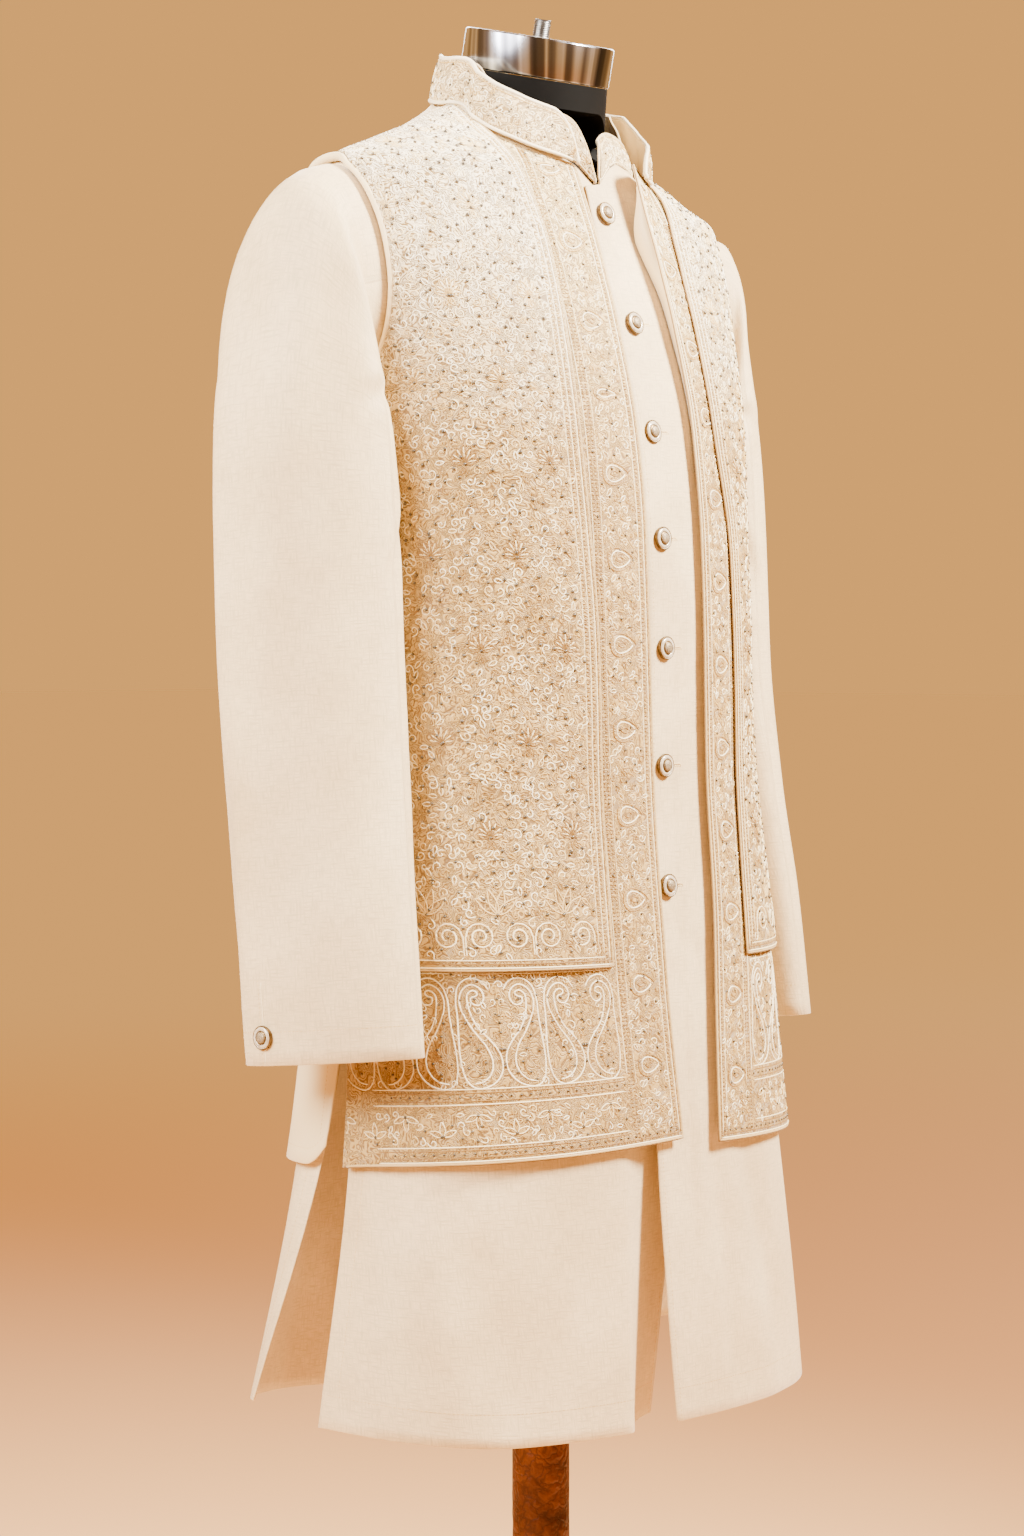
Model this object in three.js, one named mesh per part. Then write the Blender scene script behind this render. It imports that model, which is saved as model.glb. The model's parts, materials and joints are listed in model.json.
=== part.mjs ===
import * as THREE from 'three';

// A nehru jacket set on a limbless dress form: a sleeveless open jacket, each front a short layer
// over a long one, worn over a long kurta with sleeves. Millimetres, +Z up. The figure faces -Y,
// its right side is at -X, and the origin is the middle of the stand's underside.

// ---- driving sizes ----

const seamGap = 0.3; // between pieces that are sewn or set together
const kurtaCloth = 1.2; // cotton silk
const jacketCloth = 1.8; // embroidered cloth and its lining
const underarm = 1249;
const armholeTop = 1416;
const armholeFront = 48; // the armhole's reach ahead of the side line, and behind it
const armholeBack = 54;
const bindingWidth = 3;
const collarSeat = 1; // a collar's lower edge stands this far over the neckline
const kurtaHem = 482;
const jacketHem = 678;
const shortHem = 826;
const kurtaSlitTop = 850;
const jacketSlitTop = 835;
const shoulderRow = 1468; // the height of the neck's side point
const radians = Math.PI / 180;

// The kurta's outer face as level rings: half width, and how far the front, the side line and the
// back stand from the pole's axis. Roundness 2 is an ellipse, and more is squarer.
const bodyRings = [
  { z: 440, halfWidth: 256, front: -154, side: 0, back: 119, roundness: 2.1 },
  { z: 480, halfWidth: 249, front: -152, side: 0, back: 118, roundness: 2.25 },
  { z: 690, halfWidth: 209, front: -140, side: 2, back: 116, roundness: 2.55 },
  { z: 830, halfWidth: 197, front: -130, side: 5, back: 112, roundness: 2.5 },
  { z: 972, halfWidth: 181, front: -122, side: 9, back: 104, roundness: 2.4 },
  { z: 1060, halfWidth: 174, front: -122, side: 12, back: 98, roundness: 2.45 },
  { z: 1141, halfWidth: 174, front: -119, side: 15, back: 100, roundness: 2.45 },
  { z: 1221, halfWidth: 184, front: -110, side: 20, back: 107, roundness: 2.4 },
  { z: 1303, halfWidth: 193, front: -91, side: 27, back: 112, roundness: 2.4 },
  { z: 1345, halfWidth: 197, front: -78, side: 31, back: 113, roundness: 2.4 },
  { z: 1384, halfWidth: 199, front: -65, side: 34, back: 110, roundness: 2.2 },
  { z: 1412, halfWidth: 193, front: -57, side: 34, back: 103, roundness: 2.1 },
  { z: 1432, halfWidth: 157, front: -51, side: 24, back: 98, roundness: 2.0 },
  { z: 1450, halfWidth: 119, front: -31, side: 10, back: 89, roundness: 2.0 },
  { z: 1468, halfWidth: 88, front: -16, side: 4, back: 80, roundness: 2.0 },
  { z: 1486, halfWidth: 69, front: -10, side: 3, back: 73, roundness: 2.0 },
];

// The kurta's neckline: its height at each angle from the centre front to the centre back.
const neckline = [
  { angle: 0, z: 1409 },
  { angle: 16, z: 1427 },
  { angle: 42, z: 1436 },
  { angle: 60, z: 1445 },
  { angle: 75, z: 1456 },
  { angle: 87, z: shoulderRow - 0.1 },
  { angle: 90, z: shoulderRow },
  { angle: 128, z: 1479 },
  { angle: 180, z: 1483 },
];
const jacketNeckDrop = 6; // the jacket's neckline lies this far below the kurta's
const shoulderPoint = 87; // the angle where a front's shoulder edge meets its neckline
// The left shoulder hangs lower: how far, the rows and the angles where its drop starts and is
// whole, and how many degrees it takes to fade before the centre back.
const leftShoulder = { drop: 24, from: 1380, whole: 1425, start: 17, full: 61, fade: 95 };

// Where each free front edge runs: its distance to the wearer's left of the centre front.
const lapEdge = [
  { z: 440, x: -13 },
  { z: 577, x: -21 },
  { z: 696, x: -25 },
  { z: 991, x: -14 },
  { z: 1410, x: -14 },
];
const underlapEdge = [{ z: 440, x: 16 }, { z: 1410, x: 16 }];
const rightLongEdge = [
  { z: 660, x: -4 },
  { z: 798, x: -12 },
  { z: 947, x: -16 },
  { z: 1095, x: -21 },
  { z: 1365, x: -20 },
  { z: 1428, x: -26 },
];
const rightShortEdge = [
  { z: 800, x: -69 },
  { z: 1007, x: -70 },
  { z: 1226, x: -78 },
  { z: 1330, x: -74 },
  { z: 1364, x: -73 },
  { z: 1406, x: -79 },
  { z: 1438, x: -91 },
];
const leftLongEdge = [
  { z: 660, x: 38 },
  { z: 770, x: 43 },
  { z: 892, x: 49 },
  { z: 1040, x: 45 },
  { z: 1232, x: 44 },
  { z: 1306, x: 39 },
  { z: 1381, x: 31 },
  { z: 1428, x: 27 },
];
const leftShortEdge = [
  { z: 800, x: 88 },
  { z: 940, x: 90 },
  { z: 1128, x: 85 },
  { z: 1230, x: 73 },
  { z: 1330, x: 73 },
  { z: 1438, x: 80 },
];

// How far the jacket's layers stand off the kurta at each height.
const jacketStand = [
  { z: 690, long: 6, short: 3 },
  { z: 830, long: 5, short: 3 },
  { z: 1060, long: 4, short: 2.4 },
  { z: 1221, long: 3.8, short: 1.8 },
  { z: 1345, long: 2.4, short: 1.4 },
  { z: 1415, long: 2.3, short: 2.2 },
  { z: 1440, long: 1.2, short: 1.5 },
  { z: 1462, long: 1.8, short: 0.8 },
];

// The left front rolls away from the kurta along its edge, most of all beside the collar.
const edgeRoll = [
  { z: 690, lift: 0.4 },
  { z: 1150, lift: 0.8 },
  { z: 1250, lift: 2.5 },
  { z: 1310, lift: 7 },
  { z: 1370, lift: 11 },
  { z: 1428, lift: 12 },
];
const rollWidth = 30;

// Every panel has a row at each step of a turn round the armhole, and these rows above it.
const armholeSteps = 16;
const shoulderRows = [1426, 1437, 1448, 1458];

// The right sleeve's rings beyond its armhole: where the outer and inner sides are, how deep the
// sleeve is, where its middle lies from front to back, how far it is turned inwards, and how far
// the front stands above the back.
const sleeveRings = [
  { outX: 216, outZ: 1411, inX: 201, inZ: 1247, depth: 51, middle: 36, turn: 0, pitch: 0 },
  { outX: 229, outZ: 1403, inX: 203, inZ: 1244, depth: 54, middle: 35, turn: 3, pitch: 0 },
  { outX: 239, outZ: 1389, inX: 203, inZ: 1240, depth: 58, middle: 34, turn: 7, pitch: 0 },
  { outX: 247, outZ: 1367, inX: 202, inZ: 1234, depth: 61, middle: 33, turn: 11, pitch: 0 },
  { outX: 254, outZ: 1333, inX: 200, inZ: 1225, depth: 63, middle: 31, turn: 15, pitch: 0 },
  { outX: 261, outZ: 1286, inX: 198, inZ: 1212, depth: 65, middle: 27, turn: 18, pitch: 1 },
  { outX: 268, outZ: 1222, inX: 196, inZ: 1194, depth: 67, middle: 23, turn: 20, pitch: 2 },
  { outX: 272, outZ: 1148, inX: 192, inZ: 1145, depth: 68, middle: 20, turn: 20, pitch: 3 },
  { outX: 273, outZ: 1050, inX: 192, inZ: 1050, depth: 68, middle: 16, turn: 20, pitch: 4 },
  { outX: 273, outZ: 950, inX: 200, inZ: 950, depth: 68, middle: 5, turn: 20, pitch: 5 },
  { outX: 276, outZ: 855, inX: 210, inZ: 855, depth: 68, middle: -9, turn: 20, pitch: 5 },
  { outX: 276, outZ: 762, inX: 215, inZ: 762, depth: 67, middle: -21, turn: 20, pitch: 5 },
];
const sleeveHead = 9; // the sleeve's first stretch, straight out through the armhole

const frontButtons = [
  { x: 1, z: 1388 },
  { x: 3, z: 1304 },
  { x: 3, z: 1222 },
  { x: 3, z: 1142 },
  { x: 3, z: 1060 },
  { x: 2, z: 972 },
  { x: 1, z: 882 },
];
const cuffButton = { turn: 0.337, upFromCuff: 20 };
const button = { radius: 9, height: 5.6, shank: 2.2, shankLength: 1.4 };

const form = { bottom: 745, ease: 8, shoulderEase: 0.6, columns: 28 };
const formRows = [830, 900, 972, 1060, 1141, 1221, 1303, 1345, 1384, 1400, 1412, ...shoulderRows];
const neck = { radius: 56, foot: 57, footAt: 1477, tilt: 12, top: 1497, middleAtTop: 7 };
const cap = { radius: 57.5, height: 30, stud: 6.5, studLength: 14 };
const stand = { poleRadius: 22.5, baseRadius: 175, baseHeight: 14, baseBevel: 8 };
const sides = { button: 14, stud: 16, pole: 32, cap: 40, base: 48 };

// ---- finishes ----

const finish = (name, color, roughness, metalness = 0) =>
  new THREE.MeshStandardMaterial({ name, color, roughness, metalness });
const kurtaSilk = () => finish('kurta_silk', 0xf6f1e8, 0.75);
const embroideredCloth = () => finish('embroidered_cloth', 0xefe0c4, 0.7);
const jacketBackCloth = () => finish('jacket_back_cloth', 0xf1e8d6, 0.6);
const pearlAndGilt = () => finish('pearl_and_gilt', 0xc9b48c, 0.3, 0.5);
const blackForm = () => finish('black_form', 0x141313, 0.6);
const polishedSteel = () => finish('polished_steel', 0xbdb6ae, 0.22, 1);
const darkSteel = () => finish('dark_steel', 0x4a4744, 0.4, 1);
const wrappedPole = () => finish('wrapped_pole', 0x7a3f10, 0.5);
const baseEnamel = () => finish('base_enamel', 0x2a2624, 0.45);

// ---- reading a table ----

// A smooth curve through one column of a table, level beyond its ends and without overshoot.
function columnAt(table, along, column, at) {
  const last = table.length - 1;
  if (at <= table[0][along]) return table[0][column];
  if (at >= table[last][along]) return table[last][column];
  let i = 0;
  while (at > table[i + 1][along]) i += 1;
  const rise = (k) =>
    (table[k + 1][column] - table[k][column]) / (table[k + 1][along] - table[k][along]);
  const slope = (k) => {
    if (k === 0 || k === last) return rise(Math.min(k, last - 1));
    const before = rise(k - 1);
    const after = rise(k);
    return before * after <= 0 ? 0 : (2 * before * after) / (before + after);
  };
  const step = table[i + 1][along] - table[i][along];
  const t = (at - table[i][along]) / step;
  return (
    table[i][column] * (1 + 2 * t) * (1 - t) ** 2 +
    slope(i) * step * t * (1 - t) ** 2 +
    table[i + 1][column] * t * t * (3 - 2 * t) +
    slope(i + 1) * step * t * t * (t - 1)
  );
}

const mix = (from, to, t) => from + (to - from) * t;
const clamp = (value, low, high) => Math.min(high, Math.max(low, value));
const ease = (t) => clamp(t, 0, 1) ** 2 * (3 - 2 * clamp(t, 0, 1));

// ---- the body's surface ----

function ringAt(z) {
  const ring = {};
  for (const column of ['halfWidth', 'front', 'side', 'back', 'roundness']) {
    ring[column] = columnAt(bodyRings, 'z', column, z);
  }
  return ring;
}

// A place on the kurta's outer face. The angle is in degrees from the centre front, positive
// towards the wearer's left.
// How far the row that is z mm up on the right side hangs below that at this angle.
function shoulderDrop(angle, z) {
  const { drop, from, whole, start, full, fade } = leftShoulder;
  const turn = angle < -180 ? angle + 360 : angle;
  const share = ease((turn - start) / (full - start)) * ease((180 - turn) / fade);
  return drop * share * ease((z - from) / (whole - from));
}

function bodyPoint(angle, z) {
  const ring = ringAt(z);
  const across = Math.sin(angle * radians);
  const ahead = Math.cos(angle * radians);
  const depth = ahead >= 0 ? ring.side - ring.front : ring.back - ring.side;
  const sum =
    Math.abs(across / ring.halfWidth) ** ring.roundness + Math.abs(ahead / depth) ** ring.roundness;
  const reach = sum ** (-1 / ring.roundness);
  const level = z - shoulderDrop(angle, z);
  return new THREE.Vector3(reach * across, ring.side - reach * ahead, level);
}

function bodyNormal(angle, z) {
  const around = bodyPoint(angle + 0.5, z).sub(bodyPoint(angle - 0.5, z));
  const up = bodyPoint(angle, z + 1).sub(bodyPoint(angle, z - 1));
  return around.cross(up).normalize();
}

const clothPoint = (angle, z, out) =>
  bodyPoint(angle, z).addScaledVector(bodyNormal(angle, z), out);

// The angle at which the front of the ring at height z reaches x.
function angleAtX(x, z) {
  const ring = ringAt(z);
  const share = Math.min(Math.abs(x) / ring.halfWidth, 0.9999);
  const depth = (ring.side - ring.front) * (1 - share ** ring.roundness) ** (1 / ring.roundness);
  return Math.atan2(x, depth) / radians;
}

// The angle, on the wearer's left, at which the ring at height z is `behind` the side line.
function angleAtDepth(behind, z) {
  const ring = ringAt(z);
  const depth = behind < 0 ? ring.side - ring.front : ring.back - ring.side;
  const share = Math.min(Math.abs(behind) / depth, 0.9999);
  const x = ring.halfWidth * (1 - share ** ring.roundness) ** (1 / ring.roundness);
  return Math.atan2(x, -behind) / radians;
}

const backColumns = 20;
const armholeMiddle = (underarm + armholeTop) / 2;
const armholeHalf = (armholeTop - underarm) / 2;

// How wide the armhole is at height z, as a share of its widest, grown by `grow` mm.
function armholeShare(z, grow) {
  const t = (z - armholeMiddle) / (armholeHalf + grow);
  return Math.sqrt(Math.max(0, 1 - t * t));
}

// The angle of a front's or a back's outer edge: the side seam or slit, then the armhole, then
// the shoulder seam.
function outerAngle(z, isBack, slit, grow) {
  const ring = ringAt(z);
  const halfGap = (seamGap / 2 / ring.halfWidth) / radians;
  const turn = isBack ? 1 : -1;
  if (Math.abs(z - armholeMiddle) < armholeHalf + grow) {
    const reach = (isBack ? armholeBack : armholeFront) + grow;
    const behind = turn * Math.max(reach * armholeShare(z, grow), seamGap / 2);
    return angleAtDepth(behind, z);
  }
  const open = clamp((slit.top - z) / (slit.top - slit.hem), 0, 1);
  const spread = (isBack ? slit.behind : slit.ahead) * open;
  return 90 + turn * (halfGap + spread / ring.halfWidth / radians);
}

// The neckline's angle at height z on the front, for the kurta or, dropped, for the jacket.
const necklineAngle = (z, drop) => columnAt(neckline, 'z', 'angle', z + drop);

// ---- cloth walls ----

// A closed wall over a grid of columns and rows. place(u, v, face) gives a corner of the outer
// face, 1, or the inner face, 0. A wall that closes on itself has no side edges.
function clothWall(columns, rows, place, closes = false) {
  const across = closes ? columns : columns + 1;
  const positions = [];
  for (const face of [0, 1]) {
    for (let j = 0; j <= rows; j += 1) {
      for (let i = 0; i < across; i += 1) {
        positions.push(...place(i / columns, j / rows, face).toArray());
      }
    }
  }
  const corner = (face, i, j) => (face * (rows + 1) + j) * across + (i % across);
  const faces = [];
  // The diagonals of the two halves mirror each other.
  const quad = (a, b, c, d, i) =>
    faces.push(...(2 * i < columns ? [a, b, c, a, c, d] : [b, c, d, a, b, d]));
  for (let j = 0; j < rows; j += 1) {
    for (let i = 0; i < columns; i += 1) {
      quad(corner(1, i, j), corner(1, i + 1, j), corner(1, i + 1, j + 1), corner(1, i, j + 1), i);
      quad(corner(0, i, j), corner(0, i, j + 1), corner(0, i + 1, j + 1), corner(0, i + 1, j), i);
    }
    if (!closes) {
      quad(corner(0, 0, j), corner(1, 0, j), corner(1, 0, j + 1), corner(0, 0, j + 1), 0);
      const end = columns;
      quad(corner(1, end, j), corner(0, end, j), corner(0, end, j + 1), corner(1, end, j + 1), 0);
    }
  }
  for (let i = 0; i < columns; i += 1) {
    quad(corner(0, i, 0), corner(0, i + 1, 0), corner(1, i + 1, 0), corner(1, i, 0), 0);
    quad(corner(1, i, rows), corner(1, i + 1, rows), corner(0, i + 1, rows), corner(0, i, rows), 0);
  }
  return closedGeometry(positions, faces);
}

// Faces are turned round where the grid runs the other way, so that they always point out.
function closedGeometry(positions, faces) {
  const at = (k) => new THREE.Vector3().fromArray(positions, 3 * k);
  let volume = 0;
  for (let k = 0; k < faces.length; k += 3) {
    volume += at(faces[k]).dot(at(faces[k + 1]).cross(at(faces[k + 2])));
  }
  if (volume < 0) {
    for (let k = 0; k < faces.length; k += 3) [faces[k], faces[k + 1]] = [faces[k + 1], faces[k]];
  }
  const geometry = new THREE.BufferGeometry();
  geometry.setAttribute('position', new THREE.Float32BufferAttribute(positions, 3));
  geometry.setIndex(faces);
  return geometry;
}

const group = new THREE.Group();

function add(name, geometry, material) {
  const mesh = new THREE.Mesh(geometry, material);
  mesh.name = name;
  group.add(mesh);
  return mesh;
}

// ---- panels ----

// The heights of a panel's rows: `count` even steps up to the underarm, one at each step round
// the armhole, and those above it.
function rowHeights(hem, count, grow, top) {
  const armhole = Array.from({ length: armholeSteps / 2 + 1 }, (_, k) =>
    armholeMiddle + (armholeHalf + grow) * Math.sin((k / armholeSteps) * 2 * Math.PI - Math.PI / 2));
  const lower = Array.from({ length: count }, (_, k) => mix(hem, armhole[0], k / count));
  return [...lower, ...armhole, ...shoulderRows, top];
}

// Columns stand closer together towards the sides, where the rings bend most.
const crowding = 0.4;
const frontShare = (u) => u + (crowding * Math.sin(Math.PI * u)) / Math.PI;
const backShare = (u) => u - (crowding * Math.sin(2 * Math.PI * u)) / (2 * Math.PI);

// One front. `side` is 1 for the wearer's left, `edge` its free edge, `drop` how far its neckline
// lies below the kurta's, `stand` its inner and outer faces' distance off the body's surface.
function frontPanel({ side, edge, hem, hemRise, rows, drop, slit, grow, stand, columns }) {
  const top = shoulderRow - drop;
  const heights = rowHeights(hem, rows, grow, top);
  return clothWall(columns, heights.length - 1, (u, v, face) => {
    const row = Math.round(v * (heights.length - 1));
    const outer = outerAngle(heights[row], false, slit, grow);
    const free = side * angleAtX(columnAt(edge, 'z', 'x', heights[row]), heights[row]);
    const neckSide = Math.max(free, necklineAngle(heights[row], drop));
    const onNeck = heights[row] > columnAt(neckline, 'angle', 'z', Math.max(free, 0)) - drop;
    const inner = onNeck ? Math.min(neckSide, shoulderPoint) : free;
    const angle = side * mix(inner, outer, frontShare(u));
    const z = row === 0 ? hem + hemRise(Math.abs(angle)) : heights[row];
    return clothPoint(angle, z, stand(angle, z, face));
  });
}

// The back, in one piece, from the right side seam round to the left.
function backPanel({ hem, hemRise, rows, drop, slit, grow, stand, columns }) {
  const heights = rowHeights(hem, rows, grow, shoulderRow - drop);
  const last = heights.length - 1;
  return clothWall(columns, last, (u, v, face) => {
    const row = Math.round(v * last);
    const outer = outerAngle(heights[row], true, slit, grow);
    const angle = mix(-outer, outer - 360, backShare(u));
    const behind = 180 - Math.abs(angle + 180);
    let z = heights[row];
    if (row === 0) z = hem + hemRise(behind);
    if (row === last) z = columnAt(neckline, 'angle', 'z', behind) - drop;
    return clothPoint(angle, z, stand(angle, z, face));
  });
}

// The kurta's fronts rise a little towards the lap and the side slits.
const rightHemRise = (angle) => 12 * ease((20 - angle) / 22) + 12 * ease((angle - 50) / 40);
const leftHemRise = (angle) => 2 + 6 * ease((angle - 50) / 40);
const backHemRise = (behind) => 15 * ease((150 - behind) / 60) + 8;
// The jacket's long fronts hang lower towards their side slits.
const rightLongRise = (angle) => 17 * Math.sqrt(clamp(1 - angle / 90, 0, 1));
const leftLongRise = (angle) => 2 + 9 * Math.sqrt(clamp(1 - angle / 90, 0, 1));
const levelHem = () => 0;

const kurtaSlit = { top: kurtaSlitTop, hem: kurtaHem, ahead: 4, behind: 44 };
const jacketSlit = { top: jacketSlitTop, hem: jacketHem, ahead: 3, behind: 10 };

// The right front dips under the left one where they lap.
function rightKurtaStand(angle, z, face) {
  const x = bodyPoint(angle, z).x;
  return (face - 1) * kurtaCloth - 1.9 * ease((x + 62) / 34);
}
const leftKurtaStand = (angle, z, face) => (face - 1) * kurtaCloth;

// The backs' corners swing out below the slits.
function backSwing(angle, z) {
  const fromSide = Math.min(Math.abs(angle + 90), Math.abs(angle + 270));
  const below = clamp((kurtaSlitTop - z) / (kurtaSlitTop - kurtaHem), 0, 1);
  return 29 * below ** 1.7 * ease((55 - fromSide) / 50);
}
const kurtaBackStand = (angle, z, face) => (face - 1) * kurtaCloth + backSwing(angle, z);

function longStand(angle, z, face) {
  return columnAt(jacketStand, 'z', 'long', z) + face * jacketCloth;
}

const jacketBackStand = (angle, z, face) => longStand(angle, z, face) + backSwing(angle, z);

// How far the left front's edge rolls off the kurta.
function leftRoll(angle, z) {
  const fromEdge = bodyPoint(angle, z).x - columnAt(leftLongEdge, 'z', 'x', z);
  return columnAt(edgeRoll, 'z', 'lift', z) * clamp(1 - fromEdge / rollWidth, 0, 1) ** 2;
}
const leftLongStand = (angle, z, face) => longStand(angle, z, face) + leftRoll(angle, z);

function shortStand(angle, z, face) {
  return longStand(angle, z, 1) + columnAt(jacketStand, 'z', 'short', z) + face * jacketCloth;
}

const kurtaPanel = { hem: kurtaHem, rows: 8, drop: 0, slit: kurtaSlit, grow: 0 };
const jacketPanel = { drop: jacketNeckDrop, slit: jacketSlit, grow: bindingWidth + seamGap };
const longPanel = { ...jacketPanel, hem: jacketHem, rows: 6 };
const shortPanel = { ...jacketPanel, hem: shortHem, hemRise: levelHem, rows: 4, stand: shortStand };

add('kurta_front_right', frontPanel({
  ...kurtaPanel, side: -1, edge: underlapEdge, hemRise: rightHemRise, stand: rightKurtaStand,
  columns: 11,
}), kurtaSilk());
add('kurta_front_left', frontPanel({
  ...kurtaPanel, side: 1, edge: lapEdge, hemRise: leftHemRise, stand: leftKurtaStand, columns: 11,
}), kurtaSilk());
add('kurta_back', backPanel({
  ...kurtaPanel, hemRise: backHemRise, stand: kurtaBackStand, columns: backColumns,
}), kurtaSilk());
add('jacket_front_right_long', frontPanel({
  ...longPanel, side: -1, edge: rightLongEdge, hemRise: rightLongRise, stand: longStand,
  columns: 9,
}), embroideredCloth());
add('jacket_front_left_long', frontPanel({
  ...longPanel, side: 1, edge: leftLongEdge, hemRise: leftLongRise, stand: leftLongStand,
  columns: 10,
}), embroideredCloth());
add('jacket_front_right_short', frontPanel({
  ...shortPanel, side: -1, edge: rightShortEdge, columns: 7,
}), embroideredCloth());
add('jacket_front_left_short', frontPanel({
  ...shortPanel, side: 1, edge: leftShortEdge, columns: 7,
}), embroideredCloth());
add('jacket_back', backPanel({
  ...longPanel, hemRise: () => 1, stand: jacketBackStand, columns: backColumns,
}), jacketBackCloth());

// ---- armhole bindings and sleeves ----

// A place on the armhole, grown by `grow` mm and moved `out` of the body's surface. The turn runs
// once round from 0 to 1, starting at the front.
function armholePoint(side, turn, grow, out) {
  const ahead = Math.cos(turn * 2 * Math.PI);
  const z = armholeMiddle + (armholeHalf + grow) * Math.sin(turn * 2 * Math.PI);
  const reach = (ahead > 0 ? armholeFront : armholeBack) + grow;
  return clothPoint(side * angleAtDepth(-reach * ahead, z), z, out);
}

function armholeBinding(side) {
  return clothWall(armholeSteps, 1, (u, v, face) => {
    const z = armholeMiddle + armholeHalf * Math.sin(u * 2 * Math.PI);
    const inside = columnAt(jacketStand, 'z', 'long', z);
    return armholePoint(side, u, bindingWidth * v, face ? shortStand(0, z, 1) : inside);
  }, true);
}

// A place on the right sleeve's ring, mirrored for the left one.
function sleevePoint(side, ring, turn, face) {
  const cloth = face ? 0 : kurtaCloth;
  const up = Math.sin(turn * 2 * Math.PI);
  const ahead = Math.cos(turn * 2 * Math.PI);
  const rise = new THREE.Vector3(ring.outX - ring.inX, 0, ring.outZ - ring.inZ);
  const half = rise.length() / 2 - cloth;
  const depth = ring.depth - cloth;
  const place = new THREE.Vector3(ring.outX + ring.inX, 0, ring.outZ + ring.inZ).divideScalar(2);
  place.addScaledVector(rise.normalize(), half * up);
  place.x -= depth * ahead * Math.sin(ring.turn * radians);
  place.y = ring.middle - depth * ahead * Math.cos(ring.turn * radians);
  place.z += ring.pitch * ahead;
  place.z -= shoulderDrop(90 * side, place.z);
  place.x *= side;
  return place;
}

function sleeve(side) {
  const rows = sleeveRings.length + 1;
  return clothWall(armholeSteps, rows, (u, v, face) => {
    const row = Math.round(v * rows);
    if (row > 1) return sleevePoint(side, sleeveRings[row - 2], u, face);
    const place = armholePoint(side, u, face ? -seamGap : -seamGap - kurtaCloth, 0);
    place.x += side * sleeveHead * row;
    return place;
  }, true);
}

for (const [name, side] of [['right', -1], ['left', 1]]) {
  add(`kurta_sleeve_${name}`, sleeve(side), kurtaSilk());
  add(`jacket_armhole_binding_${name}`, armholeBinding(side), jacketBackCloth());
}

// ---- collars ----

// The neckline's angles from a front end to the centre back: one at each of the fronts' rows and
// one at each of the back's columns.
function neckAngles(start, drop, grow) {
  const rows = rowHeights(kurtaHem, 1, grow, shoulderRow - drop);
  const angles = rows.map((z) => Math.min(necklineAngle(z, drop), shoulderPoint));
  const ahead = angles.filter((angle) => angle > start + 2);
  const behind = Array.from(
    { length: backColumns / 2 + 1 },
    (_, k) => 90 + 180 * backShare(k / backColumns),
  );
  return [start, ...ahead, ...behind];
}

// A standing band along the neckline, open at the front, with rounded front corners. `lift` is how
// far it stands off the body's surface, `lean` how far it leans in over its height, and `peak` how
// much taller and straighter it is at an end.
function standCollar({ start, drop, grow, lift, height, peak, cloth, lean, corner }) {
  const right = neckAngles(start.right, drop, grow).map((angle) => -angle);
  const left = neckAngles(start.left, drop, grow).reverse();
  const angles = [...right, ...left.slice(1)];
  const base = angles.map((angle) => {
    const z = columnAt(neckline, 'angle', 'z', Math.abs(angle)) - drop;
    return clothPoint(angle, z, lift(angle, z));
  });
  const run = [0];
  for (let k = 1; k < base.length; k += 1) run.push(run[k - 1] + base[k].distanceTo(base[k - 1]));
  const whole = run[run.length - 1];
  const last = base.length - 1;
  return clothWall(last, 3, (u, v, face) => {
    const k = Math.round(u * last);
    const share = run[k] / whole;
    const end = share < 0.5 ? 'right' : 'left';
    const fromEnd = Math.min(run[k], whole - run[k]);
    const rounding = clamp(1 - fromEnd / corner[end], 0, 1);
    const atEnd = ease(Math.abs(2 * share - 1) * 1.6 - 0.6);
    const near = peak[end] ? clamp(1 - fromEnd / 18, 0, 1) : 0;
    const full = mix(height.back, height[end], atEnd) + peak[end] * near;
    const tall = full * Math.max(0.15, Math.sqrt(1 - rounding * rounding));
    const leans = mix(lean.back, lean[end], atEnd) * (1 - near);
    const inward = new THREE.Vector3(-base[k].x, 5 - base[k].y, 0).normalize();
    const place = base[k].clone();
    place.addScaledVector(inward, (1 - face) * cloth + (leans * v * tall) / full);
    place.z += collarSeat + tall * v;
    return place;
  });
}

add('kurta_collar', standCollar({
  start: { right: 1.5, left: 1.5 }, drop: 0, grow: 0, lift: () => 0, cloth: 1.6,
  height: { back: 31, right: 31, left: 22 }, lean: { back: 5, right: 2, left: 9 },
  corner: { right: 30, left: 7 }, peak: { right: 0, left: 11 },
}), embroideredCloth());
add('jacket_collar', standCollar({
  start: { right: 17, left: 45 }, drop: jacketNeckDrop, grow: jacketPanel.grow,
  lift: (angle, z) => shortStand(angle, z, 1) + (angle > 0 ? leftRoll(angle, z) : 0),
  height: { back: 34, right: 34, left: 29 }, cloth: 2.2,
  corner: { right: 24, left: 24 }, peak: { right: 0, left: 0 },
  lean: { back: 8, right: 5, left: 2 },
}), embroideredCloth());

// ---- buttons ----

// A profile of [radius, height] corners, turned round the upright axis.
function turnedShape(profile, count) {
  const corners = profile.map(([r, z]) => new THREE.Vector2(r, z));
  return new THREE.LatheGeometry(corners, count).rotateX(90 * radians);
}

// A domed button in two tiers on a short shank, turned to lie on the cloth.
function buttonShape() {
  const { radius, height, shank, shankLength } = button;
  const profile = [
    [0, 0],
    [shank, 0],
    [shank, shankLength],
    [radius, shankLength],
    [radius, shankLength + 0.45 * height],
    [0.72 * radius, shankLength + 0.6 * height],
    [0.62 * radius, shankLength + 0.85 * height],
    [0, shankLength + height],
  ];
  return turnedShape(profile, sides.button);
}

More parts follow.
